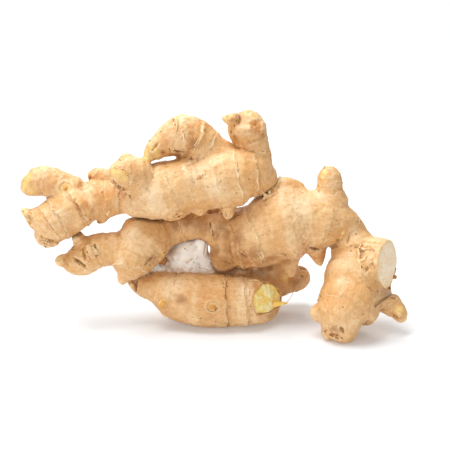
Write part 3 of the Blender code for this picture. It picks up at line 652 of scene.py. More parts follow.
def eye_distances(points, uneven):
    """Each point's distance from the nearest bud's middle, in radii of the bud."""
    nearest = np.full(len(points), EYE_REACH)
    for eye in eyes:
        nearest = np.minimum(nearest, oval_distance(points, *eye))
    return nearest + EYE_UNEVEN * uneven


def raise_relief(skin, lobes):
    """Moves the skin out and in for its rings, its wrinkles and its buds."""
    points = numbers(skin.data.vertices, "co")
    normals = numbers(skin.data.vertices, "normal")
    skin_map = SkinMap(lobes, points)
    uneven = noise_values(points, UNEVEN_SIZE)
    past = skin_map.past + RING_UNEVEN * uneven
    weight = skin_map.near * smooth_step(0, RING_CLEARANCE, skin_map.clear) * skin_map.lip
    rise = np.clip(1 + past / RING_RISE, 0, 1) ** 2
    step = 1 - smooth_step(*RING_STEP, past)
    groove = bell(past, GROOVE_PLACE, GROOVE_WIDTH)
    height = weight * (RING_HEIGHT * np.where(past < 0, rise, step) - RING_GROOVE * groove)
    across = np.stack([skin_map.side, skin_map.up, skin_map.along], axis=1)
    fibres = noise_values(across * FIBRE_STRETCH, FIBRE_SIZE)
    folds = noise_values(across * FOLD_STRETCH, FOLD_SIZE)
    height += (FIBRE_HEIGHT * fibres + FOLD_HEIGHT * folds * (FOLDS_OFF_RINGS + weight)
               + UNEVEN_HEIGHT * uneven)
    for dent, depth in dents:
        d = oval_distance(points, *dent) + DENT_UNEVEN * uneven
        height -= (depth * (1 - smooth_step(*DENT_EDGE, d))
                   - DENT_RIM * bell(d, DENT_RIM_PLACE, DENT_RIM_WIDTH))
    d = eye_distances(points, uneven)
    height += EYE_WALL * sum(tall * bell(d, middle, width) for middle, width, tall in EYE_SECTION)
    set_places(skin.data, points + normals * height[:, None])


smooth_skins = [surface_of(skin) for skin in skins.values()]
eyes = find_eyes(smooth_skins)
dents = [(oval_on(smooth_skins, *oval), depth * MM) for *oval, depth in DENTS]
for name, skin in skins.items():
    raise_relief(skin, branch_lobes[name])


# The knife cut, the break and the table
# A knife took one knob off the right body, the front finger was snapped, and the table presses
# small flat spots where the hand lies on it.
CUT_CENTRE = Vector((87.5, -8.5, 36.5)) * MM
CUT_NORMAL = Vector((0.86, -0.50, 0.08)).normalized()
CUT_SIZE = (0.036, 0.036, 0.020)
BREAK_CENTRE = Vector((28.0, -4.0, 14.0)) * MM
BREAK_NORMAL = Vector((0.72, -0.66, 0.22)).normalized()
BREAK_SIZE = (0.027, 0.027, 0.012)
TABLE_SIZE = (0.30, 0.20, 0.02)


def cut_away(skin, centre, normal, size):
    """Takes a box off the skin: its near face passes through centre and faces against normal."""
    deselect()
    bpy.ops.mesh.primitive_cube_add(size=1, location=centre + normal * size[2] / 2,
                                    rotation=normal.to_track_quat("Z", "Y").to_euler())
    cutter = bpy.context.active_object
    cutter.scale = size
    add_modifier(skin, "cut", "BOOLEAN", operation="DIFFERENCE", solver="MANIFOLD", object=cutter)
    apply_all(skin)
    bpy.data.objects.remove(cutter)


cut_away(skins["middle_branch"], CUT_CENTRE, CUT_NORMAL, CUT_SIZE)
cut_away(skins["lower_branch"], BREAK_CENTRE, BREAK_NORMAL, BREAK_SIZE)
for name in ("middle_branch", "lower_branch"):
    cut_away(skins[name], Vector((0, 0, 0)), Vector((0, 0, -1)), TABLE_SIZE)
surfaces = {name: surface_of(skin) for name, skin in skins.items()}
hand = list(surfaces.values())


# Stains, pale spots and painted light on the skin
# Each kind of spot is a list of (pixel x, pixel y, radius in millimetres), as the photograph shows
# them: gold on young tips, a warm blush on the fingers, pale patches that are partly paler skin and
# partly painted highlight, rust at torn ends, and grime mixed with painted shade where fingers meet
# and on the undersides. The back hump's lobes are painted near white on their front, a painted
# highlight.
SPOTS = {
    "gold": [
        (24, 185, 3.2), (30, 191, 3), (27, 178, 3), (23, 190, 2.4), (148, 156, 4.4),
        (153, 151, 3.4), (146, 150, 2.6), (152, 160, 2.2), (113, 172, 2.8), (119, 174, 3.4),
        (124, 178, 2.8), (287, 276, 2.6), (163, 254, 2.8), (226, 120, 3.2), (229, 126, 2.6),
        (231, 116, 2.2), (324, 173, 2.6), (323, 178, 1.8), (399, 310, 3.2), (169, 221, 1.6),
        (194, 216, 1.8), (59, 258, 2), (57, 263, 2.2), (232, 216, 1.8), (88, 171, 2), (33, 240, 2),
        (24, 213, 3), (174, 115, 2.4), (276, 182, 1.7), (273, 187, 1.7), (268, 192, 1.7),
        (262, 196, 1.5), (343, 233, 1.2), (341, 238, 1), (163, 303, 2.8), (157, 156, 2.6),
        (150, 155, 3.6), (181, 115, 2.2), (286, 278, 2.6),
    ],
    "blush": [
        (42, 184, 8), (52, 178, 6), (103, 190, 7), (98, 184, 6), (163, 140, 7), (172, 128, 7),
        (256, 126, 5), (243, 150, 6), (327, 176, 5), (207, 300, 8), (216, 312, 7), (104, 205, 6),
        (318, 258, 5), (90, 252, 4), (258, 185, 6), (303, 185, 6), (62, 258, 4), (88, 258, 4),
        (376, 256, 2.6), (376, 266, 2.6), (330, 300, 8), (200, 142, 5), (47, 222, 5), (53, 230, 5),
        (42, 214, 4), (58, 203, 4), (232, 245, 7), (246, 258, 6), (160, 176, 5), (190, 292, 4),
    ],
    # Partly paler skin, partly a painted highlight where light falls on the fingers.
    "pale": [
        (174, 285, 8), (168, 294, 5), (150, 196, 9), (150, 210, 7), (300, 205, 9), (130, 232, 8),
        (215, 190, 8), (372, 262, 4), (355, 232, 6), (340, 280, 5), (120, 262, 5), (320, 196, 6),
        (262, 272, 5), (272, 273, 4), (245, 292, 6), (60, 218, 7), (195, 175, 9), (130, 152, 4),
    ],
    "rust": [
        (252, 124, 2.6), (259, 122, 2.2), (84, 250, 2), (91, 256, 2.2), (76, 262, 1.8),
        (84, 267, 1.6), (174, 119, 2), (256, 127, 4.6), (262, 133, 2.8), (236, 118, 4),
        (64, 265, 1.4), (42, 240, 2.4), (52, 243, 2.2), (30, 216, 1.8), (54, 207, 2.2),
        (80, 207, 1.8), (74, 200, 1.4), (188, 119, 2.4), (190, 126, 2.6), (191, 133, 2.2),
        (190, 140, 2.6), (188, 147, 2.4), (205, 131, 1.6), (255, 286, 2.4), (226, 285, 1.6),
        (225, 297, 1.4), (362, 246, 1.8), (371, 250, 1.6), (373, 267, 2), (393, 287, 2.2),
        (334, 334, 3), (90, 178, 1.8), (125, 188, 1.6), (207, 242, 2.2), (176, 264, 3.4),
        (198, 259, 1.4), (163, 152, 2), (171, 154, 2.2), (178, 153, 2.2), (314, 248, 2),
        (135, 286, 1.8), (199, 177, 1.8), (216, 167, 1), (280, 175, 1.6), (324, 166, 2),
        (168, 221, 1.4), (181, 216, 1.6),
    ],
    # Partly grime and partly painted shade: darker spots where fingers meet and on the undersides.
    "grime": [
        (163, 153, 2), (171, 156, 2.4), (186, 154, 4.4), (176, 158, 3), (206, 228, 5),
        (226, 236, 5), (246, 262, 5), (262, 262, 6), (232, 270, 6), (272, 258, 5), (255, 254, 7),
        (285, 262, 5), (215, 236, 5), (212, 256, 5), (228, 250, 6), (226, 262, 7), (240, 258, 7),
        (252, 268, 5), (216, 250, 5), (236, 240, 7), (222, 226, 5), (200, 226, 7), (188, 222, 6),
        (176, 226, 5), (132, 283, 4), (136, 290, 3), (181, 300, 4.4), (90, 178, 2), (152, 258, 5),
        (118, 186, 3), (194, 144, 4.4), (314, 248, 3), (390, 296, 3), (296, 282, 5), (303, 268, 3),
        (178, 155, 4), (239, 117, 4), (235, 138, 3), (270, 268, 3), (60, 242, 3), (334, 330, 4),
        (232, 120, 1.8),
    ],
}
# The back hump's lobes are painted near white on their front: a painted highlight, held to the
# front and fading at its edge.
PAINTED_HIGHLIGHT_LOBES = ("back_hump", "back_hump_crest", "back_hump_ear", "back_hump_shoulder")
PAINTED_HIGHLIGHT_EDGE = 3.0 * MM
PAINTED_HIGHLIGHT_BACK = 17.0 * MM
HOLLOW_PASSES = 14
HOLLOW_PULL = 0.6
HOLLOW_DEPTH = 0.32 * MM
CONTACT_SHADE_REACH = 4.2 * MM
RING_LINE_CLEARANCE = 1.6 * MM
TONE_EDGE = 2.5 * MM
TONE_STEP = 0.618


def least_reach(lobes, points):
    """How far each point is from the nearest of some lobes."""
    centres, radii = end_to_end(lobes, "centres"), end_to_end(lobes, "radii")
    return np.array([(np.linalg.norm(centres - point, axis=1) - radii).min() for point in points])


def hollows(mesh, points, normals):
    """How far each point lies in a crease: 0 on open skin, 1 in a deep one."""
    a, b, counts = neighbours(mesh)
    soft = points.copy()
    for _ in range(HOLLOW_PASSES):
        soft = (1 - HOLLOW_PULL) * soft + HOLLOW_PULL * neighbour_means(soft, a, b, counts)
    depth = ((soft - points) * normals).sum(1)
    return np.clip(depth / HOLLOW_DEPTH, -1, 1)


def pressed(points, others):
    """How near another branch is: 1 where it touches, 0 beyond the reach of its shade."""
    near = np.zeros(len(points))
    for other in others:
        for i, point in enumerate(points):
            found = other.find_nearest(point, CONTACT_SHADE_REACH)
            if found[0] is not None:
                near[i] = max(near[i], 1 - found[3] / CONTACT_SHADE_REACH)
    return near


def store(mesh, name, values):
    """Keeps a number or a vector for each vertex, for the material to read."""
    kind, what = ("FLOAT", "value") if values.ndim == 1 else ("FLOAT_VECTOR", "vector")
    mesh.attributes.new(name, kind, "POINT").data.foreach_set(what, values.ravel())


spot_places = {
    kind: [(np.array(seen_on(hand, x, y)[0]), radius * MM) for x, y, radius in spots]
    for kind, spots in SPOTS.items()
}


def mark_skin(skin, lobes, others):
    """Stores on the skin all that its material follows."""
    points = numbers(skin.data.vertices, "co")
    normals = numbers(skin.data.vertices, "normal")
    skin_map = SkinMap(lobes, points)
    shows = skin_map.near * smooth_step(0, RING_LINE_CLEARANCE, skin_map.clear)
    store(skin.data, "ring_past", skin_map.past / MM)
    store(skin.data, "ring_cream", skin_map.cream * shows)
    store(skin.data, "ring_brown", skin_map.brown * shows)
    tones = np.array([random.Random(lobe.name).uniform(0, 1) for lobe in lobes])
    tone = (np.floor(skin_map.count + 0.5) * TONE_STEP + tones[skin_map.lobe]) % 1.0
    store(skin.data, "tone", 0.5 + (tone - 0.5) * smooth_step(0, TONE_EDGE, skin_map.clear))
    store(skin.data, "grain", np.stack([skin_map.side, skin_map.up, skin_map.along], axis=1))
    # Painted highlight on the back hump's front: 1 on its lobes, 0 on the other lobes and behind.
    highlit = [lobe for lobe in lobes if lobe.name in PAINTED_HIGHLIGHT_LOBES]
    bare = [lobe for lobe in lobes if lobe.name not in PAINTED_HIGHLIGHT_LOBES]
    film = least_reach(bare, points) - least_reach(highlit, points) if highlit else -PAINTED_HIGHLIGHT_EDGE
    film = np.minimum(film, PAINTED_HIGHLIGHT_BACK - points[:, 1])
    store(skin.data, "film", 0.5 + np.clip(film / PAINTED_HIGHLIGHT_EDGE, -1, 1) / 2)
    # The depth of creases and the nearness of other branches, for the painted shade in both.
    store(skin.data, "hollow", hollows(skin.data, points, normals))
    store(skin.data, "pressed", pressed(points, others))
    for kind, places in spot_places.items():
        mask = np.zeros(len(points))
        for place, radius in places:
            mask = np.maximum(mask, 1 - np.linalg.norm(points - place, axis=1) / radius)
        store(skin.data, kind, mask)
    store(skin.data, "eye", eye_distances(points, noise_values(points, UNEVEN_SIZE)))


for name, skin in skins.items():
    mark_skin(skin, branch_lobes[name], [surfaces[other] for other in skins if other != name])
    only(skin)
    bpy.ops.object.shade_smooth()


# Ginger skin
# Dry papery bark over moist flesh: tan, mottled from cream to ochre, finely streaked along each
# finger. It is softly glossy where it is stretched, and a little light passes into the flesh.


def srgb(hex_colour):
    """The linear colour of an sRGB hex value."""
    parts = [int(hex_colour[i:i + 2], 16) / 255 for i in (0, 2, 4)]
    return (*[p / 12.92 if p <= 0.04045 else ((p + 0.055) / 1.055) ** 2.4 for p in parts], 1.0)


def add_node(tree, kind, inputs=(), **settings):
    """Adds a shader node, with its settings, its values and its links."""
    made = tree.nodes.new("ShaderNode" + kind)
    for name, value in settings.items():
        setattr(made, name, value)
    for socket, value in dict(inputs).items():
        if isinstance(value, bpy.types.NodeSocket):
            tree.links.new(value, made.inputs[socket])
        else:
            made.inputs[socket].default_value = value
    return made


def new_material(name, fixed):
    """A material, its nodes and its shader, with the shader's fixed values."""
    material = bpy.data.materials.new(name)
    material.use_nodes = True
    shader = material.node_tree.nodes["Principled BSDF"]
    for socket, value in fixed.items():
        shader.inputs[socket].default_value = value
    return material, material.node_tree, shader


def light_within(weight, reach, scale):
    """The shader's values for light that passes into the root, by how far each colour goes."""
    return {"Subsurface Weight": weight, "Subsurface Radius": reach, "Subsurface Scale": scale}


def paint(tree, shader, ground, layers):
    """Lays colours over a ground, each by a value's rise from low to high.

    Where a layer names a second value, it is multiplied by that one too.
    """
    colour = add_node(tree, "RGB").outputs[0]
    colour.default_value = srgb(ground)
    for shade, value, low, high, most, *times in layers:
        mask = add_node(tree, "MapRange", {"Value": value, "From Min": low, "From Max": high,
                                           "To Max": most},
                        interpolation_type="SMOOTHSTEP").outputs["Result"]
        if times:
            mask = add_node(tree, "Math", {0: mask, 1: times[0]}, operation="MULTIPLY").outputs[0]
        colour = add_node(tree, "Mix", {0: mask, 6: colour, 7: srgb(shade)},
                          data_type="RGBA").outputs[2]
    tree.links.new(colour, shader.inputs["Base Color"])


def stack_heights(tree, shader, strength, heights):
    """Roughens a shader's surface with values, each by its height in millimetres."""
    height = 0.0
    for value, lift in heights:
        height = add_node(tree, "Math", {0: value, 1: lift, 2: height},
                          operation="MULTIPLY_ADD").outputs[0]
    bump = add_node(tree, "Bump", {"Height": height, "Distance": 1.0 * MM, "Strength": strength})
    tree.links.new(bump.outputs["Normal"], shader.inputs["Normal"])


def skin_material():
    """Tan bark. Its layers go on one over the other, from the broad tone to the smallest fleck."""
    material, tree, shader = new_material("ginger_bark", {
        "Specular IOR Level": 0.5, **light_within(0.10, (1.0, 0.55, 0.25), 2.0 * MM)})
    place = add_node(tree, "TexCoord").outputs["Object"]
    grain = add_node(tree, "Attribute", attribute_name="grain").outputs["Vector"]
    read = {name: add_node(tree, "Attribute", attribute_name=name).outputs["Fac"]
            for name in ("ring_past", "ring_cream", "ring_brown", "tone", "film", "hollow",
                         "pressed", "gold", "blush", "pale", "rust", "grime", "eye")}

    # Noises, with their size in millimetres: over the whole hand, then along and round a finger
    spaces = {"hand": place}
    for name, stretch in (("along", (1, 1, 0.13)), ("round", (0.25, 0.25, 1))):
        spaces[name] = add_node(tree, "VectorMath", {0: grain, 1: stretch},
                                operation="MULTIPLY").outputs[0]
    broad, mottle, patch, blotch, fine, streaks, cross = [
        add_node(tree, "TexNoise", {"Vector": spaces[space], "Scale": 1 / (size * MM),
                                    "Detail": detail, "Roughness": rough}).outputs["Fac"]
        for space, size, detail, rough in (
            ("hand", 24, 2, 0.5), ("hand", 7.5, 3, 0.55), ("hand", 4.2, 5, 0.65),
            ("hand", 2.4, 4, 0.6), ("hand", 0.75, 2, 0.5), ("along", 0.8, 3, 0.65),
            ("round", 1.9, 3, 0.6))]
    ragged = add_node(tree, "Math", {0: blotch, 1: 0.5}, operation="SUBTRACT").outputs[0]
    for name, spread in (("blush", 1.4), ("pale", 1.6), ("gold", 1.0), ("rust", 1.2),
                         ("grime", 1.1), ("eye", 0.4), ("ring_past", 1.4), ("film", 1.6)):
        read[name] = add_node(tree, "Math", {0: ragged, 1: spread, 2: read[name]},
                              operation="MULTIPLY_ADD").outputs[0]
    broken = add_node(tree, "MapRange", {"Value": mottle, "From Min": 0.42, "From Max": 0.58},
                      interpolation_type="SMOOTHSTEP").outputs["Result"]
    past = read["ring_past"]
    before, after, wide = [
        add_node(tree, "Math", {
            0: add_node(tree, "MapRange", {"Value": past, "From Min": a, "From Max": b},
                        interpolation_type="SMOOTHSTEP").outputs["Result"],
            1: add_node(tree, "MapRange", {"Value": past, "From Min": d, "From Max": c},
                        interpolation_type="SMOOTHSTEP").outputs["Result"],
        }, operation="MULTIPLY").outputs[0]
        for a, b, c, d in ((-0.8, -0.3, -0.05, 0.2), (-0.2, 0.05, 0.2, 0.6), (-0.3, 0.1, 1.0, 3.4))]
    cream_line, brown_line, scale_shade = [
        add_node(tree, "Math", {0: line, 1: amount}, operation="MULTIPLY").outputs[0]
        for line, amount in ((before, read["ring_cream"]), (after, read["ring_brown"]),
                             (wide, read["ring_brown"]))]
    paint(tree, shader, "E0AC6E", [
        ("EBC28E", broad, 0.42, 0.60, 0.50),
        ("CB8F4E", broad, 0.48, 0.32, 0.42),
        ("F3D2A2", mottle, 0.50, 0.66, 0.36),
        ("C98C4E", mottle, 0.46, 0.30, 0.26),
        ("F5D9AE", read["tone"], 0.55, 1.0, 0.36),
        ("CF9352", read["tone"], 0.45, 0.0, 0.34),
        ("DB9858", read["blush"], 0.0, 0.8, 0.55),
        # Pale patches: partly paler skin, partly painted highlight.
        ("F5DDB4", read["pale"], 0.0, 0.9, 0.52),
        ("C68A50", scale_shade, 0.1, 0.9, 0.40),
        ("F4D9AA", patch, 0.56, 0.62, 0.18),
        ("CC9150", patch, 0.43, 0.36, 0.16),
        ("BA7C40", streaks, 0.50, 0.70, 0.30),
        ("F6DCAE", streaks, 0.46, 0.30, 0.26),
        ("B0743A", cross, 0.60, 0.76, 0.22),
        ("B27841", blotch, 0.58, 0.70, 0.22),
        ("A06C3A", fine, 0.62, 0.74, 0.28),
        ("F8E2BA", fine, 0.37, 0.25, 0.28),
        ("FAE4B8", cream_line, 0.15, 0.70, 0.85, broken),
        ("95602F", brown_line, 0.15, 0.80, 0.75, broken),
        ("EFC678", read["gold"], 0.05, 0.28, 0.95),
        ("FAE09C", read["gold"], 0.30, 0.75, 0.75),
        ("D99A48", read["gold"], 0.05, 0.30, 0.55, mottle),
        ("BE7830", read["rust"], -0.1, 0.7, 0.66),
        # Grime and painted shade: darker ochre-brown where fingers meet and underneath.
        ("99602A", read["grime"], -0.2, 1.0, 0.72),
        ("F4D8A4", read["eye"], 1.40, 1.15, 0.35),
        ("B9803F", read["eye"], 1.02, 0.95, 0.45),
        ("EBC27C", read["eye"], 0.84, 0.70, 0.70),
        ("CF9440", read["eye"], 0.44, 0.28, 0.60),
        # Painted shade: darker brown in the creases.
        ("84521F", read["hollow"], 0.25, 0.95, 0.72),
        # Painted shade where another branch touches or nearly touches.
        ("6E4220", read["pressed"], 0.35, 0.95, 0.75),
        # Painted highlight on the back hump's front, then painted shade back into its creases.
        ("FFFAF0", read["film"], 0.35, 0.80, 0.95),
        ("CF9C66", read["film"], 0.35, 0.75, 0.60, read["hollow"]),
        # Paler on the ridges, where the skin bulges out.
        ("F6DAAA", read["hollow"], -0.35, -1.0, 0.35),
    ])
    roughness = add_node(tree, "MapRange", {"Value": mottle, "From Min": 0.3, "From Max": 0.7,
                                            "To Min": 0.40, "To Max": 0.60}).outputs["Result"]
    tree.links.new(roughness, shader.inputs["Roughness"])
    stack_heights(tree, shader, 0.9, (
        (patch, 0.14), (blotch, 0.16), (streaks, 0.20), (cross, 0.26), (fine, 0.06),
        (cream_line, 0.12), (brown_line, -0.25)))
    return material


def dress(piece, material):
    """Gives a piece its material, hangs it on the root's body and hides the solid's ginger_root
    part.
    """
    piece.data.materials.clear()
    piece.data.materials.append(material)
    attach(piece, "root")
    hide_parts("ginger_root")


bark = skin_material()
for skin in skins.values():
    dress(skin, bark)


# Papery scales
# Each ring is what is left of a leaf scale: a torn lip, a few tenths of a millimetre thick, that
# clings to the finger part of the way round. Larger rags are left at the buds and by the cut.
PIXEL = CAMERA_DISTANCE * SENSOR / LENS / PHOTO_SIZE
PAPER_THICKNESS = 0.24 * MM
PAPER_ROWS = 3
PAPER_STEP = 0.7 * MM
PAPER_SUNK = 0.5 * MM
PAPER_TORN, PAPER_CURL = (0.65, 1.15), (0.6, 1.3)
PAPER_END = 0.4
BLUNT_END, SHARP_END, CURL_RISE = 0.4, 2, 1.5
TABLE_REACH = 0.4 * MM
RIMS_PER_RING = 3
RIM_WIDTH = (0.5 * MM, 1.2 * MM)
RIM_LIFT = 0.30 * MM
RIM_TURN = (0.3, 1.1)
RIM_LEAST_PLACES = 4
# A line cast in at a ring, in radii of the lobe: where it starts, how far in it meets a skin that
# is the lobe's own, and how far from that the skin may be
RING_LINE_START, RING_LINE_LENGTH, RING_LINE_SLACK = 2.2, 1.2, 0.3
# Rags: the pixels along the foot of each, the angle in the picture that it lies towards, its width
# and how far its free edge lifts in millimetres, and how pointed it is.
RAGS = [
    ([(112, 182), (119, 189), (130, 191)], 112, 5.0, 1.4, 0.6),
    ([(178, 114), (181, 124), (178, 134)], 185, 3.0, 1.1, 0.2),
    ([(82, 246), (83, 252), (86, 259)], 5, 4.6, 1.7, 0.3),
    ([(99, 244), (100, 251), (96, 258)], 185, 2.4, 0.5, 0.3),
    ([(31, 208), (33, 217), (31, 226)], 175, 3.6, 1.4, 0.3),
    ([(52, 203), (55, 207), (58, 210)], 215, 2.2, 0.4, 0.4),
    ([(40, 236), (50, 239), (60, 242)], 265, 2.8, 1.3, 0.1),
    ([(366, 243), (374, 245), (383, 244)], 85, 4.2, 0.9, 0.2),
    ([(364, 250), (370, 252), (376, 250)], 112, 6.4, 1.0, 0.8),
    ([(359, 246), (366, 245), (372, 248)], 262, 3.4, 0.7, 0.5),
    ([(367, 255), (368, 263), (367, 273)], 182, 4.6, 0.8, 0.4),
    ([(376, 251), (376, 259), (374, 269)], 190, 4.2, 0.8, 0.5),
    ([(360, 242), (356, 250), (356, 260), (360, 272)], 5, 2.0, 1.0, 0.0),
    ([(358, 258), (363, 257), (369, 254)], 255, 2.8, 0.8, 0.4),
    ([(229, 111), (232, 120), (231, 130)], 178, 3.4, 0.6, 0.4),
    ([(248, 280), (256, 281), (264, 282)], 250, 1.8, 1.0, 0.2),
    ([(131, 279), (134, 284), (136, 290)], 182, 2.4, 1.2, 0.2),
    ([(262, 190), (270, 193), (278, 187)], 255, 2.8, 1.4, 0.4),
    ([(264, 201), (272, 198), (278, 193)], 100, 2.2, 1.2, 0.3),
    ([(282, 180), (278, 190), (271, 197), (262, 202)], 135, 3.0, 0.8, 0.1),
    ([(146, 150), (149, 156), (153, 160)], 12, 2.0, 0.4, 0.2),
    ([(321, 171), (325, 168), (328, 172)], 80, 1.8, 0.5, 0.4),
]


def press_on_table(piece):
    """Presses thin what would reach below the table."""
    points = numbers(piece.data.vertices, "co")
    low = points[:, 2] < TABLE_REACH
    points[low, 2] = TABLE_REACH * np.exp(points[low, 2] / TABLE_REACH - 1)
    set_places(piece.data, points)


def strip_of_paper(path, ways, width, lift, pointed):
    """A rag of dry scale: it leaves the skin along a path and lies over it, one way, torn."""
    deselect()
    columns = len(path) - 1
    bpy.ops.mesh.primitive_grid_add(x_subdivisions=columns, y_subdivisions=PAPER_ROWS, size=2)
    strip = bpy.context.active_object
    torn = [random.uniform(*PAPER_TORN) for _ in path]
    curl = [random.uniform(*PAPER_CURL) for _ in path]
    free = np.zeros(len(strip.data.vertices))
    for vertex in strip.data.vertices:
        i = round((vertex.co.x + 1) / 2 * columns)
        out = round((vertex.co.y + 1) / 2 * PAPER_ROWS) / PAPER_ROWS
        end = math.sin(math.pi * (i + PAPER_END) / (columns + 2 * PAPER_END))
        reach = width * torn[i] * ((1 - pointed) * end ** BLUNT_END + pointed * end ** SHARP_END)
        place, normal = nearest_on(hand, path[i] + ways[i] * reach * out)
        rise = lift * curl[i] * out ** CURL_RISE * end
        vertex.co = place + normal * (rise - PAPER_SUNK * (1 - out))
        free[vertex.index] = out
    store(strip.data, "free", free)
    add_modifier(strip, "thicken", "SOLIDIFY", thickness=PAPER_THICKNESS, offset=0)
    apply_all(strip)
    return strip


def along_skin(pixels):
    """Places on the skin, a step apart, along a line drawn through pixels."""
    found = []
    for (x0, y0), (x1, y1) in zip(pixels, pixels[1:]):
        steps = max(1, round(math.dist((x0, y0), (x1, y1)) * PIXEL / PAPER_STEP))
        for k in range(steps):
            t = k / steps
            found.append(seen_on(hand, x0 + (x1 - x0) * t, y0 + (y1 - y0) * t)[0])
    return found + [seen_on(hand, *pixels[-1])[0]]


def round_ring(branch, lobe, ring, start, turn):
    """Places along part of a leaf ring, as angles round the lobe, where the skin is the lobe's."""
    radius = np.interp(lobe.rings[ring], lobe.along, lobe.radii)
    steps = max(3, round(turn * radius / PAPER_STEP))
    for k in range(steps + 1):
        angle = start + turn * k / steps
        side, up = radius * math.cos(angle), radius * math.sin(angle)
        place = lobe.rings[ring] + ring_shift(lobe.name, side, up)
        i = min(np.searchsorted(lobe.along, place), len(lobe.along) - 1)
        out = Vector(lobe.sides[i] * math.cos(angle) + lobe.ups[i] * math.sin(angle))
        outside = Vector(lobe.centres[i]) + out * radius * RING_LINE_START
        hit = surfaces[branch].ray_cast(outside, -out)
        if hit[0] is None or abs(hit[3] - radius * RING_LINE_LENGTH) > radius * RING_LINE_SLACK:
            return
        yield hit[0], Vector(lobe.tangents[i])


random.seed(23)
papers = []
for pixels, angle, width, lift, pointed in RAGS:
    path = along_skin(pixels)
    papers.append(strip_of_paper(path, [picture_way(angle)] * len(path), width * MM, lift * MM,
                                 pointed))
for branch, lobes in branch_lobes.items():
    for lobe in lobes:
        for ring in range(len(lobe.rings)):
            for _ in range(RIMS_PER_RING):
                turn = random.uniform(*RIM_TURN)
                places = list(round_ring(branch, lobe, ring, random.uniform(0, 2 * math.pi), turn))
                if len(places) < RIM_LEAST_PLACES:
                    continue
                path, ways = zip(*places)
                papers.append(strip_of_paper(path, ways, random.uniform(*RIM_WIDTH), RIM_LIFT, 0.0))
scales = join(papers, "papery_scales")
press_on_table(scales)
bpy.ops.object.shade_smooth()

paper, tree, shader = new_material("dry_leaf_scale", {
    "Roughness": 0.7, **light_within(0.15, (1.0, 0.6, 0.3), 1.0 * MM)})
place = add_node(tree, "TexCoord").outputs["Object"]
free = add_node(tree, "Attribute", attribute_name="free").outputs["Fac"]
stain, fleck = [add_node(tree, "TexNoise", {"Vector": place, "Scale": 1 / (size * MM), "Detail": 3}
                         ).outputs["Fac"] for size in (3.0, 0.8)]
paint(tree, shader, "E3AE70", [
    ("B9793C", stain, 0.52, 0.66, 0.65),
    ("EEC78C", stain, 0.46, 0.34, 0.60),
    # Painted shade at the foot of each rag, where it leaves the skin.
    ("A86F38", free, 0.30, 0.0, 0.50),
    ("F7DFB4", free, 0.60, 1.0, 0.60),
    ("8F5B2B", fleck, 0.60, 0.72, 0.55),
])
stack_heights(tree, shader, 0.6, ((stain, 0.3), (fleck, 0.15)))
dress(scales, paper)


# Crusts and root scars
# Thin roots once grew from the rings and the undersides. Each left a hard, corky crust, from
# orange-brown to nearly black, and a few stand in rows where a scale tore off.
CRUST_SHAPES = 4
CRUST_ROUGH, CRUST_BUMPS = 0.48, 3.5
CRUST_GAP = 1.15
CRUST_MISSING = 0.25
CRUST_SHIFT = (0.2, 0.8)
CRUST_WANDER = 0.35
CRUST_LENGTH, CRUST_WIDTH, CRUST_HEIGHT = (0.7, 1.5), (0.4, 0.7), (0.2, 0.4)
CRUST_AGEING = (-0.25, 0.15)
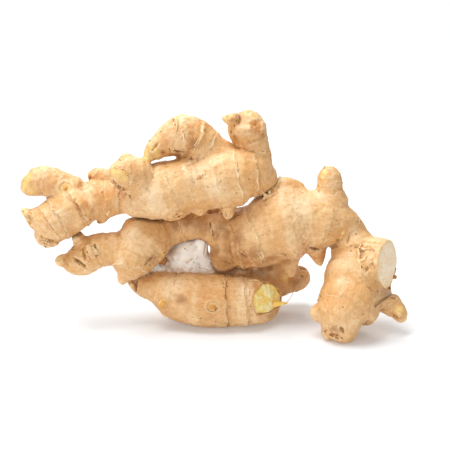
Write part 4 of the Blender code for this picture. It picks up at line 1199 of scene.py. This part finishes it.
# Rows of crusts: the pixels along each, the size of one in millimetres, and its age, from the
# fresh orange of 0 to the black-brown of 1.
CRUST_ROWS = [
    ([(70, 196), (78, 205), (80, 210), (87, 217), (91, 220)], 1, 0.5),
    ([(42, 212), (48, 222), (53, 229), (58, 235), (63, 239)], 0.5, 0.7),
    ([(36, 195), (48, 197)], 0.5, 0.8), ([(42, 237), (50, 241), (57, 244)], 0.8, 0.8),
    ([(44, 246), (50, 248)], 1.4, 0.9), ([(29, 210), (30, 226)], 0.8, 0.9),
    ([(72, 257), (76, 260), (80, 265), (86, 268)], 0.8, 0.6),
    ([(82, 248), (81, 256), (84, 257)], 1, 0.4), ([(87, 252), (95, 257)], 1, 0.4),
    ([(66, 252), (75, 247)], 0.7, 0.8), ([(78, 231), (84, 234)], 0.9, 0.8),
    ([(112, 179), (119, 187), (125, 190)], 0.8, 0.8), ([(124, 190), (130, 189)], 1, 0.95),
    ([(114, 168), (124, 170), (129, 178), (128, 187)], 0.5, 0.85),
    ([(90, 178), (97, 179)], 0.8, 0.9), ([(118, 158), (121, 161)], 1.2, 0.8),
    ([(119, 192), (119, 214)], 0.6, 0.6), ([(148, 138), (151, 143)], 0.8, 0.9),
    ([(172, 116), (174, 122)], 0.9, 0.8), ([(169, 148), (172, 156)], 0.8, 0.9),
    ([(174, 149), (181, 155)], 0.8, 0.9), ([(160, 149), (164, 154)], 0.8, 0.9),
    ([(166, 156), (178, 158), (190, 157)], 0.7, 0.95), ([(183, 131), (186, 139)], 0.6, 0.85),
    ([(185, 151), (196, 147)], 0.7, 0.7), ([(228, 126), (231, 133)], 1.2, 0.95),
    ([(235, 110), (237, 118), (234, 128)], 0.8, 0.9), ([(247, 142), (250, 142)], 0.7, 0.9),
    ([(253, 121), (261, 134)], 0.9, 0.5), ([(269, 152), (271, 155)], 0.8, 0.8),
    ([(197, 180), (205, 173)], 0.8, 0.6), ([(215, 166), (217, 167)], 0.7, 0.8),
    ([(256, 191), (263, 198)], 0.9, 0.6), ([(279, 172), (281, 177)], 0.9, 0.7),
    ([(271, 170), (272, 175)], 0.5, 0.7), ([(176, 214), (181, 219)], 1.1, 0.85),
    ([(166, 221), (172, 221)], 1, 0.4), ([(190, 217), (200, 217)], 1.2, 0.5),
    ([(208, 210), (222, 213)], 1.2, 0.85), ([(236, 213), (238, 215)], 1.2, 0.9),
    ([(159, 222), (161, 223)], 0.9, 0.8), ([(209, 222), (212, 230), (214, 240)], 1.1, 0.8),
    ([(226, 213), (230, 225), (240, 245)], 0.5, 0.6),
    ([(225, 262), (245, 268), (262, 272)], 0.7, 0.85), ([(240, 248), (257, 264)], 0.6, 0.8),
    ([(275, 251), (295, 260)], 0.4, 0.8), ([(312, 248), (320, 250)], 0.7, 0.8),
    ([(183, 247), (189, 252)], 0.5, 0.9), ([(193, 262), (200, 265)], 0.45, 0.9),
    ([(200, 268), (209, 270)], 0.5, 0.9), ([(150, 264), (153, 268)], 0.5, 0.8),
    ([(222, 279), (224, 288), (226, 300)], 0.8, 0.5), ([(226, 306), (227, 318)], 0.5, 0.6),
    ([(132, 280), (138, 292)], 1.2, 0.8),
    ([(207, 305), (209, 311), (214, 312), (217, 308)], 0.7, 0.85),
    ([(192, 317), (230, 324)], 0.4, 0.7), ([(299, 268), (307, 271)], 1.2, 0.9),
    ([(301, 276), (303, 277)], 0.9, 0.8), ([(321, 166), (326, 166)], 1.1, 0.85),
    ([(345, 204), (350, 204)], 0.5, 0.7), ([(396, 266), (397, 274)], 0.8, 0.8),
    ([(387, 287), (393, 290)], 1.2, 0.9), ([(390, 296), (396, 300)], 1.1, 0.85),
    ([(323, 331), (334, 337), (345, 338)], 1, 0.75), ([(393, 315), (401, 320)], 1, 0.8),
    ([(368, 249), (375, 251)], 0.7, 0.95), ([(359, 256), (366, 254)], 0.6, 0.8),
    ([(357, 275), (365, 282), (372, 290), (377, 293)], 0.45, 0.5),
    ([(357, 246), (358, 264)], 0.5, 0.6), ([(250, 288), (249, 300), (252, 311)], 0.6, 0.5),
]
# Single crusts: pixel, length, width, angle, height and age
CRUSTS = [
    (395, 277, 3.4, 2.2, 0, 1.6, 0.35), (161, 131.5, 0.9, 0.6, 30, 0.3, 0.9),
    (208, 187, 0.7, 0.5, 60, 0.3, 0.8), (221, 181, 0.7, 0.5, 20, 0.3, 0.8),
    (356, 234, 0.9, 0.7, 30, 0.4, 0.7), (351, 246, 0.8, 0.6, 0, 0.3, 0.7),
    (351, 251, 0.8, 0.6, 40, 0.3, 0.7), (343, 307, 0.9, 0.6, 0, 0.3, 0.8),
    (363, 314, 0.9, 0.6, 20, 0.3, 0.8), (321, 296, 0.9, 0.7, 70, 0.4, 0.7),
    (320, 309, 0.8, 0.6, 10, 0.3, 0.8), (377, 291, 1.2, 0.8, 0, 0.4, 0.5),
    (106, 215, 0.8, 0.7, 0, 0.3, 0.9), (107, 212, 0.7, 0.6, 0, 0.3, 0.9),
    (212.5, 307, 3.2, 2.4, 20, 1.2, 0.3), (65.5, 188, 2.2, 1.6, 50, 0.8, 0.1),
    (163, 304, 4.6, 3, 60, 1.1, 0.1), (258, 295, 0.7, 0.6, 0, 0.3, 0.3),
    (99, 222, 2.4, 1.2, 300, 1, 0.5), (164, 253, 1.8, 1.4, 0, 0.9, 0.2),
    (163.5, 260.5, 5, 4, 0, 2.5, 0.6), (302, 276, 1, 0.8, 0, 0.3, 0.8),
    (290, 279, 1.8, 1.4, 0, 0.8, 0.1),
]
# Scattered crusts, and crusts just past the brown rings: how many, their sizes in millimetres,
# their widths and heights as shares of their lengths, and their ages
SCATTERED = 260
EVERY_SO_MANY = 7
SCATTERED_SIZE, SCATTERED_WIDE, SCATTERED_HIGH, SCATTERED_AGE = (0.30, 0.85), 0.6, 0.3, (0.3, 1.0)
PER_BROWN_RING = 10
BY_RING_TURN, BY_RING_PAST = 0.2, 0.5 * MM
BY_RING_SIZE, BY_RING_WIDE, BY_RING_HIGH, BY_RING_AGE = (0.4, 1.1), 0.5, 0.3, (0.3, 0.9)

deselect()
bpy.ops.mesh.primitive_ico_sphere_add(subdivisions=2, radius=0.5)
pebble = bpy.context.active_object
crust_shapes = []
random.seed(41)
for _ in range(CRUST_SHAPES):
    shape = pebble.data.copy()
    shift = Vector([random.uniform(0, 50) for _ in range(3)])
    for vertex in shape.vertices:
        vertex.co *= 1 + CRUST_ROUGH * noise.noise(vertex.co * CRUST_BUMPS + shift)
    crust_shapes.append(shape)
bpy.data.objects.remove(pebble)


def lay_crust(place, normal, way, length, width, height, age):
    """One crust, half sunk in the skin, with its long side along a way."""
    made = bpy.data.objects.new("crust", random.choice(crust_shapes).copy())
    bpy.context.scene.collection.objects.link(made)
    long_side = (way - normal * way.dot(normal)).normalized()
    turn = Matrix((long_side, normal.cross(long_side), normal)).transposed().to_4x4()
    made.data.transform(Matrix.Translation(place) @ turn
                        @ Matrix.Diagonal((length, width, height * 2, 1.0)))
    store(made.data, "age", np.full(len(made.data.vertices), age))
    return made


crusts = []
for x, y, length, width, angle, height, age in CRUSTS:
    place, normal = seen_on(hand, x, y)
    crusts.append(lay_crust(place, normal, picture_way(angle), length * MM, width * MM,
                            height * MM, age))
for pixels, size, age in CRUST_ROWS:
    for (x0, y0), (x1, y1) in zip(pixels, pixels[1:]):
        row_way = picture_step((x0, y0), (x1, y1))
        count = max(2, round(math.dist((x0, y0), (x1, y1)) * PIXEL / (size * CRUST_GAP * MM)))
        for k in range(count):
            t = (k + random.uniform(*CRUST_SHIFT)) / count
            if random.random() < CRUST_MISSING:
                continue
            wander = random.gauss(0, CRUST_WANDER * size * MM / PIXEL)
            place, normal = seen_on(hand, x0 + (x1 - x0) * t + wander, y0 + (y1 - y0) * t + wander)
            length = size * random.uniform(*CRUST_LENGTH) * MM
            width, height = [length * random.uniform(*span) for span in (CRUST_WIDTH, CRUST_HEIGHT)]
            aged = min(1.0, max(0.0, age + random.uniform(*CRUST_AGEING)))
            crusts.append(lay_crust(place, normal, row_way, length, width, height, aged))
all_places = [(skin, i) for skin in skins.values()
              for i in range(0, len(skin.data.vertices), EVERY_SO_MANY)]
for skin, i in random.sample(all_places, SCATTERED):
    vertex = skin.data.vertices[i]
    length = random.uniform(*SCATTERED_SIZE) * MM
    way = picture_way(random.uniform(0, 360))
    crusts.append(lay_crust(vertex.co, vertex.normal, way, length, length * SCATTERED_WIDE,
                            length * SCATTERED_HIGH, random.uniform(*SCATTERED_AGE)))
for branch, lobes in branch_lobes.items():
    for lobe in lobes:
        for ring, (_, brown, _) in enumerate(ring_looks[lobe.name]):
            for _ in range(round(PER_BROWN_RING * brown)):
                start = random.uniform(0, 2 * math.pi)
                found = list(round_ring(branch, lobe, ring, start, BY_RING_TURN))
                if found:
                    on_ring, way = found[0]
                    place, normal = nearest_on(hand, on_ring + way * BY_RING_PAST)
                    length = random.uniform(*BY_RING_SIZE) * MM
                    crusts.append(lay_crust(place, normal, normal.cross(way), length,
                                            length * BY_RING_WIDE, length * BY_RING_HIGH,
                                            random.uniform(*BY_RING_AGE)))
scars = join(crusts, "root_scars")
press_on_table(scars)
bpy.ops.object.shade_smooth()

cork, tree, shader = new_material("corky_root_crust", {"Roughness": 0.8})
place = add_node(tree, "TexCoord").outputs["Object"]
age = add_node(tree, "Attribute", attribute_name="age").outputs["Fac"]
crumb = add_node(tree, "TexNoise", {"Vector": place, "Scale": 1 / (0.5 * MM), "Detail": 3}
                 ).outputs["Fac"]
paint(tree, shader, "DDA04E", [
    ("B0743A", age, 0.15, 0.50, 1.0),
    ("865022", age, 0.50, 0.95, 1.0),
    ("4A2F1A", crumb, 0.55, 0.72, 0.4, age),
    ("F0C078", crumb, 0.42, 0.30, 0.5),
])
stack_heights(tree, shader, 0.8, ((crumb, 0.4),))
dress(scars, cork)


# The cut and broken flesh
# Wet, starchy flesh, pale cream where the knife went and yellow and crumbly where it snapped. Each
# is a slab laid in the flat face of the skin, just proud of it, with fibres ending in it as dots.
FLESH_THICKNESS = 1.6 * MM
# A face of the skin is the flesh's if it faces the same way and lies this near to its plane
SAME_WAY = 0.999
SAME_PLANE = 0.05 * MM
BULGE_FADE = 0.6 * MM
LIFT_RANGE = (-2, 4)
# Planes that trim a flesh face, each by a point in millimetres and the way out. Below the knob the
# knife only grazed the skin, so the face is an oval there. The break's lower right tore off.
CUT_TRIMS = (((87.5, -8.5, 23.2), (0, 0, -1)), ((84.4, -13.7, 26.4), (-0.35, -0.6, -0.72)),
             ((91.6, -3.2, 26.4), (0.35, 0.6, -0.72)))
BREAK_TRIMS = (((25.6, -9.0, 8.7), (0, -0.31, -0.95)), ((30.9, -3.0, 9.0), (0.57, -0.25, -0.78)))


def flesh_slab(name, skin, centre, normal, trims, share, proud, bulge, voxel, lumps):
    """Flesh over a flat face of the skin: its outline is the face's, drawn in a little."""
    slab = bpy.data.objects.new(name, skin.data.copy())
    bpy.context.scene.collection.objects.link(slab)
    shape = bmesh.new()
    shape.from_mesh(slab.data)
    bmesh.ops.delete(shape, context="FACES", geom=[
        face for face in shape.faces if face.normal.dot(normal) < SAME_WAY
        or abs((face.calc_center_median() - centre).dot(normal)) > SAME_PLANE])
    for point, way in trims:
        bmesh.ops.bisect_plane(shape, geom=[*shape.verts, *shape.edges, *shape.faces],
                               plane_co=Vector(point) * MM, plane_no=way, clear_outer=True)
    low, high = [Vector([pick(vertex.co[i] for vertex in shape.verts) for i in range(3)])
                 for pick in (min, max)]
    middle = (low + high) / 2
    for vertex in shape.verts:
        vertex.co = middle + (vertex.co - middle) * share + normal * proud
    shape.to_mesh(slab.data)
    shape.free()
    add_modifier(slab, "thicken", "SOLIDIFY", thickness=FLESH_THICKNESS)
    add_modifier(slab, "even", "REMESH", mode="VOXEL", voxel_size=voxel)
    apply_all(slab)
    points = numbers(slab.data.vertices, "co")
    out = points - np.array(middle)
    rise = out @ np.array(normal)
    flat = out - rise[:, None] * np.array(normal)
    far = np.linalg.norm(flat, axis=1) / np.linalg.norm(flat, axis=1).max()
    outer = smooth_step(-BULGE_FADE, 0, rise - proud)
    lift = bulge * (1 - far ** 2)
    for size, height in lumps:
        lift += height * noise_values(points + 3 * size, size)
    set_places(slab.data, points + np.array(normal) * (lift * outer)[:, None])
    store(slab.data, "far", far)
    store(slab.data, "lift", np.clip(lift / MM, *LIFT_RANGE))
    only(slab)
    bpy.ops.object.shade_smooth()
    return slab, middle


def flesh_material(name, ground, layers, gloss, grit):
    """Starchy flesh: grains and fibre ends over its own colour, and a paler or browner edge."""
    material, tree, shader = new_material(name, {
        "Roughness": gloss, **light_within(0.12, (1.0, 0.6, 0.35), 2.0 * MM)})
    place = add_node(tree, "TexCoord").outputs["Object"]
    read = {what: add_node(tree, "Attribute", attribute_name=what).outputs["Fac"]
            for what in ("far", "lift")}
    for what, size in (("cloud", 5.0), ("grain", 0.9), ("dot", 0.45)):
        read[what] = add_node(tree, "TexNoise", {"Vector": place, "Scale": 1 / (size * MM),
                                                 "Detail": 3}).outputs["Fac"]
    paint(tree, shader, ground, [(shade, read[what], *span) for shade, what, *span in layers])
    stack_heights(tree, shader, grit,
                  ((read["cloud"], 0.3), (read["grain"], 0.3), (read["dot"], 0.2)))
    return material


cut_face, _ = flesh_slab(
    "cut_flesh", skins["middle_branch"], CUT_CENTRE, CUT_NORMAL, CUT_TRIMS, share=0.99,
    proud=0.25 * MM, bulge=0.5 * MM, voxel=0.42 * MM,
    lumps=((6 * MM, 0.25 * MM), (1.2 * MM, 0.08 * MM)))
cut_look = flesh_material("knife_cut_flesh", "FFE4C0", [
    ("FFF0DA", "cloud", 0.50, 0.66, 0.7), ("F4D3A4", "cloud", 0.46, 0.34, 0.5),
    ("DDB47A", "grain", 0.54, 0.64, 0.5), ("BE8E50", "dot", 0.60, 0.68, 0.7),
    ("EFCB86", "far", 0.80, 0.94, 0.7), ("D19A4E", "far", 0.93, 1.0, 0.8),
], gloss=0.55, grit=0.5)
broken, break_middle = flesh_slab(
    "broken_flesh", skins["lower_branch"], BREAK_CENTRE, BREAK_NORMAL, BREAK_TRIMS, share=0.90,
    proud=0.3 * MM, bulge=1.8 * MM, voxel=0.36 * MM,
    lumps=((4.5 * MM, 1.5 * MM), (2.0 * MM, 1.2 * MM), (0.9 * MM, 0.5 * MM)))
broken_look = flesh_material("snapped_wet_flesh", "FFDF74", [
    # Painted highlight: the tops of the lumps painted pale, and their dips a deeper orange.
    ("FFF6C0", "lift", 0.8, 1.9, 0.9), ("FFC04A", "lift", 0.7, -0.4, 0.7),
    ("FFF0A8", "grain", 0.52, 0.60, 0.6), ("F2A83A", "dot", 0.58, 0.66, 0.6),
    ("FFF3D0", "far", 0.84, 0.95, 0.8),
], gloss=0.30, grit=0.7)
dress(cut_face, cut_look)
dress(broken, broken_look)


# The torn lip of the break
# The skin tore unevenly as the finger snapped: a pale ragged lip stands round the flesh, with one
# stiff splinter, and one fine dry root hangs from the bud above down to it.
LIP_POINTS = 76
LIP_REACH = (0.6 * MM, 2.2 * MM)
LIP_SHARE = 1.02
LIP_NEAR = 0.12
LIP_WAVES, LIP_WAVE_PLACE, LIP_WAVE_RISE = 2.2, 5, 0.4
LIP_UNEVEN, LIP_FLARE_UNEVEN = (0.5, 1.2), (0.2, 1.0)
LIP_FLARE = 0.35 * MM
LIP_SUNK = 0.8 * MM
LIP_FADE = 1.2 * MM
LIP_THICKNESS = 1.4 * PAPER_THICKNESS
# The splinter: the pixel of its foot, its angle in the picture, its length and its radius. Its foot
# is sunk: its whole length and the place of its middle are in lengths of what shows.
SPLINTER = ((276, 304), 6, 5.6 * MM, 2.2 * MM)
SPLINTER_SIDES, SPLINTER_CUTS = 12, 3
SPLINTER_TIP = 0.12 * MM
SPLINTER_OUT = 0.15
SPLINTER_WHOLE, SPLINTER_MIDDLE = 1.5, 0.35
SPLINTER_FIBRES = (1.4 * MM, 0.9 * MM)
HAIR_PIXELS = [(292.5, 281), (294, 288), (291, 297), (285, 304)]
HAIR_RADIUS = 0.17 * MM


def subdivide(obj, cuts):
    """Cuts every edge of an object in equal parts."""
    only(obj)
    bpy.ops.object.mode_set(mode="EDIT")
    bpy.ops.mesh.select_all(action="SELECT")
    bpy.ops.mesh.subdivide(number_cuts=cuts)
    bpy.ops.object.mode_set(mode="OBJECT")


def torn_lip(name, flesh, middle, normal):
    """A ragged band of skin that stands up round a flesh face."""
    side = normal.orthogonal().normalized()
    up = normal.cross(side)
    points = numbers(flesh.data.vertices, "co") - np.array(middle)
    flat_side, flat_up = points @ np.array(side), points @ np.array(up)
    angles, reach = np.arctan2(flat_up, flat_side), np.hypot(flat_up, flat_side)
    deselect()
    bpy.ops.mesh.primitive_cylinder_add(vertices=LIP_POINTS, end_fill_type="NOTHING")
    lip = bpy.context.active_object
    lip.name = lip.data.name = name
    subdivide(lip, 1)
    low, high = LIP_REACH
    heights = {}
    for vertex in lip.data.vertices:
        angle = math.atan2(vertex.co.y, vertex.co.x)
        key = round(angle, 3)
        near = np.abs((angles - angle + math.pi) % (2 * math.pi) - math.pi) < LIP_NEAR
        edge = reach[near].max() * LIP_SHARE
        if key not in heights:
            wave = noise.noise(Vector((math.cos(angle) * LIP_WAVES, math.sin(angle) * LIP_WAVES,
                                       LIP_WAVE_PLACE)))
            heights[key] = (low + (high - low) * max(0, LIP_WAVE_RISE + wave)
                            * random.uniform(*LIP_UNEVEN))
        level = (vertex.co.z + 1) / 2
        flare = edge + LIP_FLARE * level * random.uniform(*LIP_FLARE_UNEVEN)
        vertex.co = (middle + (side * math.cos(angle) + up * math.sin(angle)) * flare
                     + normal * (heights[key] * level - LIP_SUNK))
    out = (numbers(lip.data.vertices, "co") - np.array(middle)) @ np.array(normal)
    store(lip.data, "free", np.clip(out / LIP_FADE, 0, 1))
    add_modifier(lip, "thicken", "SOLIDIFY", thickness=LIP_THICKNESS, offset=0)
    apply_all(lip)
    bpy.ops.object.shade_smooth()
    return lip


lip = torn_lip("torn_skin_lip", broken, break_middle, BREAK_NORMAL)

pixel, angle, length, width = SPLINTER
place, normal = seen_on([surface_of(broken)], *pixel)
way = (picture_way(angle) + normal * SPLINTER_OUT).normalized()
deselect()
bpy.ops.mesh.primitive_cone_add(vertices=SPLINTER_SIDES, radius1=width, radius2=SPLINTER_TIP,
                                depth=length * SPLINTER_WHOLE,
                                location=place + way * length * SPLINTER_MIDDLE,
                                rotation=way.to_track_quat("Z", "Y").to_euler())
splinter = bpy.context.active_object
splinter.name = splinter.data.name = "break_splinter"
subdivide(splinter, SPLINTER_CUTS)
bpy.ops.object.transform_apply()
raise_clouds(splinter, "fibres", *SPLINTER_FIBRES)
apply_all(splinter)
bpy.ops.object.shade_smooth()

start = seen_on(hand, *HAIR_PIXELS[0])[0]
end = seen_on([surface_of(splinter)], *HAIR_PIXELS[-1])[0]
hair_curve = bpy.data.curves.new("fine_dry_root", "CURVE")
hair_curve.dimensions = "3D"
hair_curve.bevel_depth = HAIR_RADIUS
hair_curve.bevel_resolution = 1
hair_curve.use_fill_caps = True
hair_curve.resolution_u = 6
spline = hair_curve.splines.new("BEZIER")
spline.bezier_points.add(len(HAIR_PIXELS) - 1)
for k, (point, pixel) in enumerate(zip(spline.bezier_points, HAIR_PIXELS)):
    line = sight_line(*pixel)
    t = k / (len(HAIR_PIXELS) - 1)
    depth = (start.lerp(end, t) - camera.location).dot(line)
    point.co = camera.location + line * depth
    point.handle_left_type = point.handle_right_type = "AUTO"
hair = bpy.data.objects.new("fine_dry_root", hair_curve)
bpy.context.scene.collection.objects.link(hair)
only(hair)
bpy.ops.object.convert(target="MESH")
hair = bpy.context.active_object
for piece, material in ((lip, paper), (splinter, broken_look), (hair, paper)):
    dress(piece, material)


# The floor and the light
# The hand lies on a white paper sweep, in a room with white walls. A wide soft light hangs over it
# and a little to its left, a weaker one stands in front on its left and a faint one on its right,
# and a lamp far behind makes the sweep white there.
SWEEP_SIZE = 6
WALL_LIGHT = 0.43
SOFTBOX_COLOUR = "F7FBFF"
BEHIND = Vector((0, 1.5, 0))
# Each lamp: its place, what it is aimed at, its size and its power
LAMPS = {
    "overhead_softbox": ((-0.17, 0.05, 0.75), LOOK_AT, 0.6, 7.1),
    "front_softbox": ((-0.62, -0.90, 0.40), LOOK_AT, 0.7, 3.8),
    "right_softbox": ((0.65, -0.85, 0.35), LOOK_AT, 0.6, 0.7),
    "sweep_lamp": ((0.0, 1.5, 1.2), BEHIND, 1.0, 15.0),
}

bpy.ops.mesh.primitive_plane_add(size=SWEEP_SIZE)
floor = bpy.context.active_object
floor.name = "white_floor"
sweep, _, _ = new_material("white_paper_sweep", {
    "Base Color": srgb("DCDCDC"), "Roughness": 0.9,
    "Emission Color": srgb("FFFFFF"), "Emission Strength": 0.16})
floor.data.materials.append(sweep)

world = bpy.data.worlds.new("white_walls")
bpy.context.scene.world = world
world.use_nodes = True
walls = world.node_tree.nodes["Background"]
walls.inputs["Color"].default_value = srgb("FFFFFF")
walls.inputs["Strength"].default_value = WALL_LIGHT

for name, (place, target, size, power) in LAMPS.items():
    bpy.ops.object.light_add(type="AREA", location=place)
    lamp = bpy.context.active_object
    lamp.name = name
    lamp.data.shape = "DISK"
    lamp.data.size = size
    lamp.data.energy = power
    lamp.data.color = srgb(SOFTBOX_COLOUR)[:3]
    lamp.rotation_euler = (target - Vector(place)).to_track_quat("-Z", "Y").to_euler()

bpy.context.scene.view_settings.view_transform = "Standard"
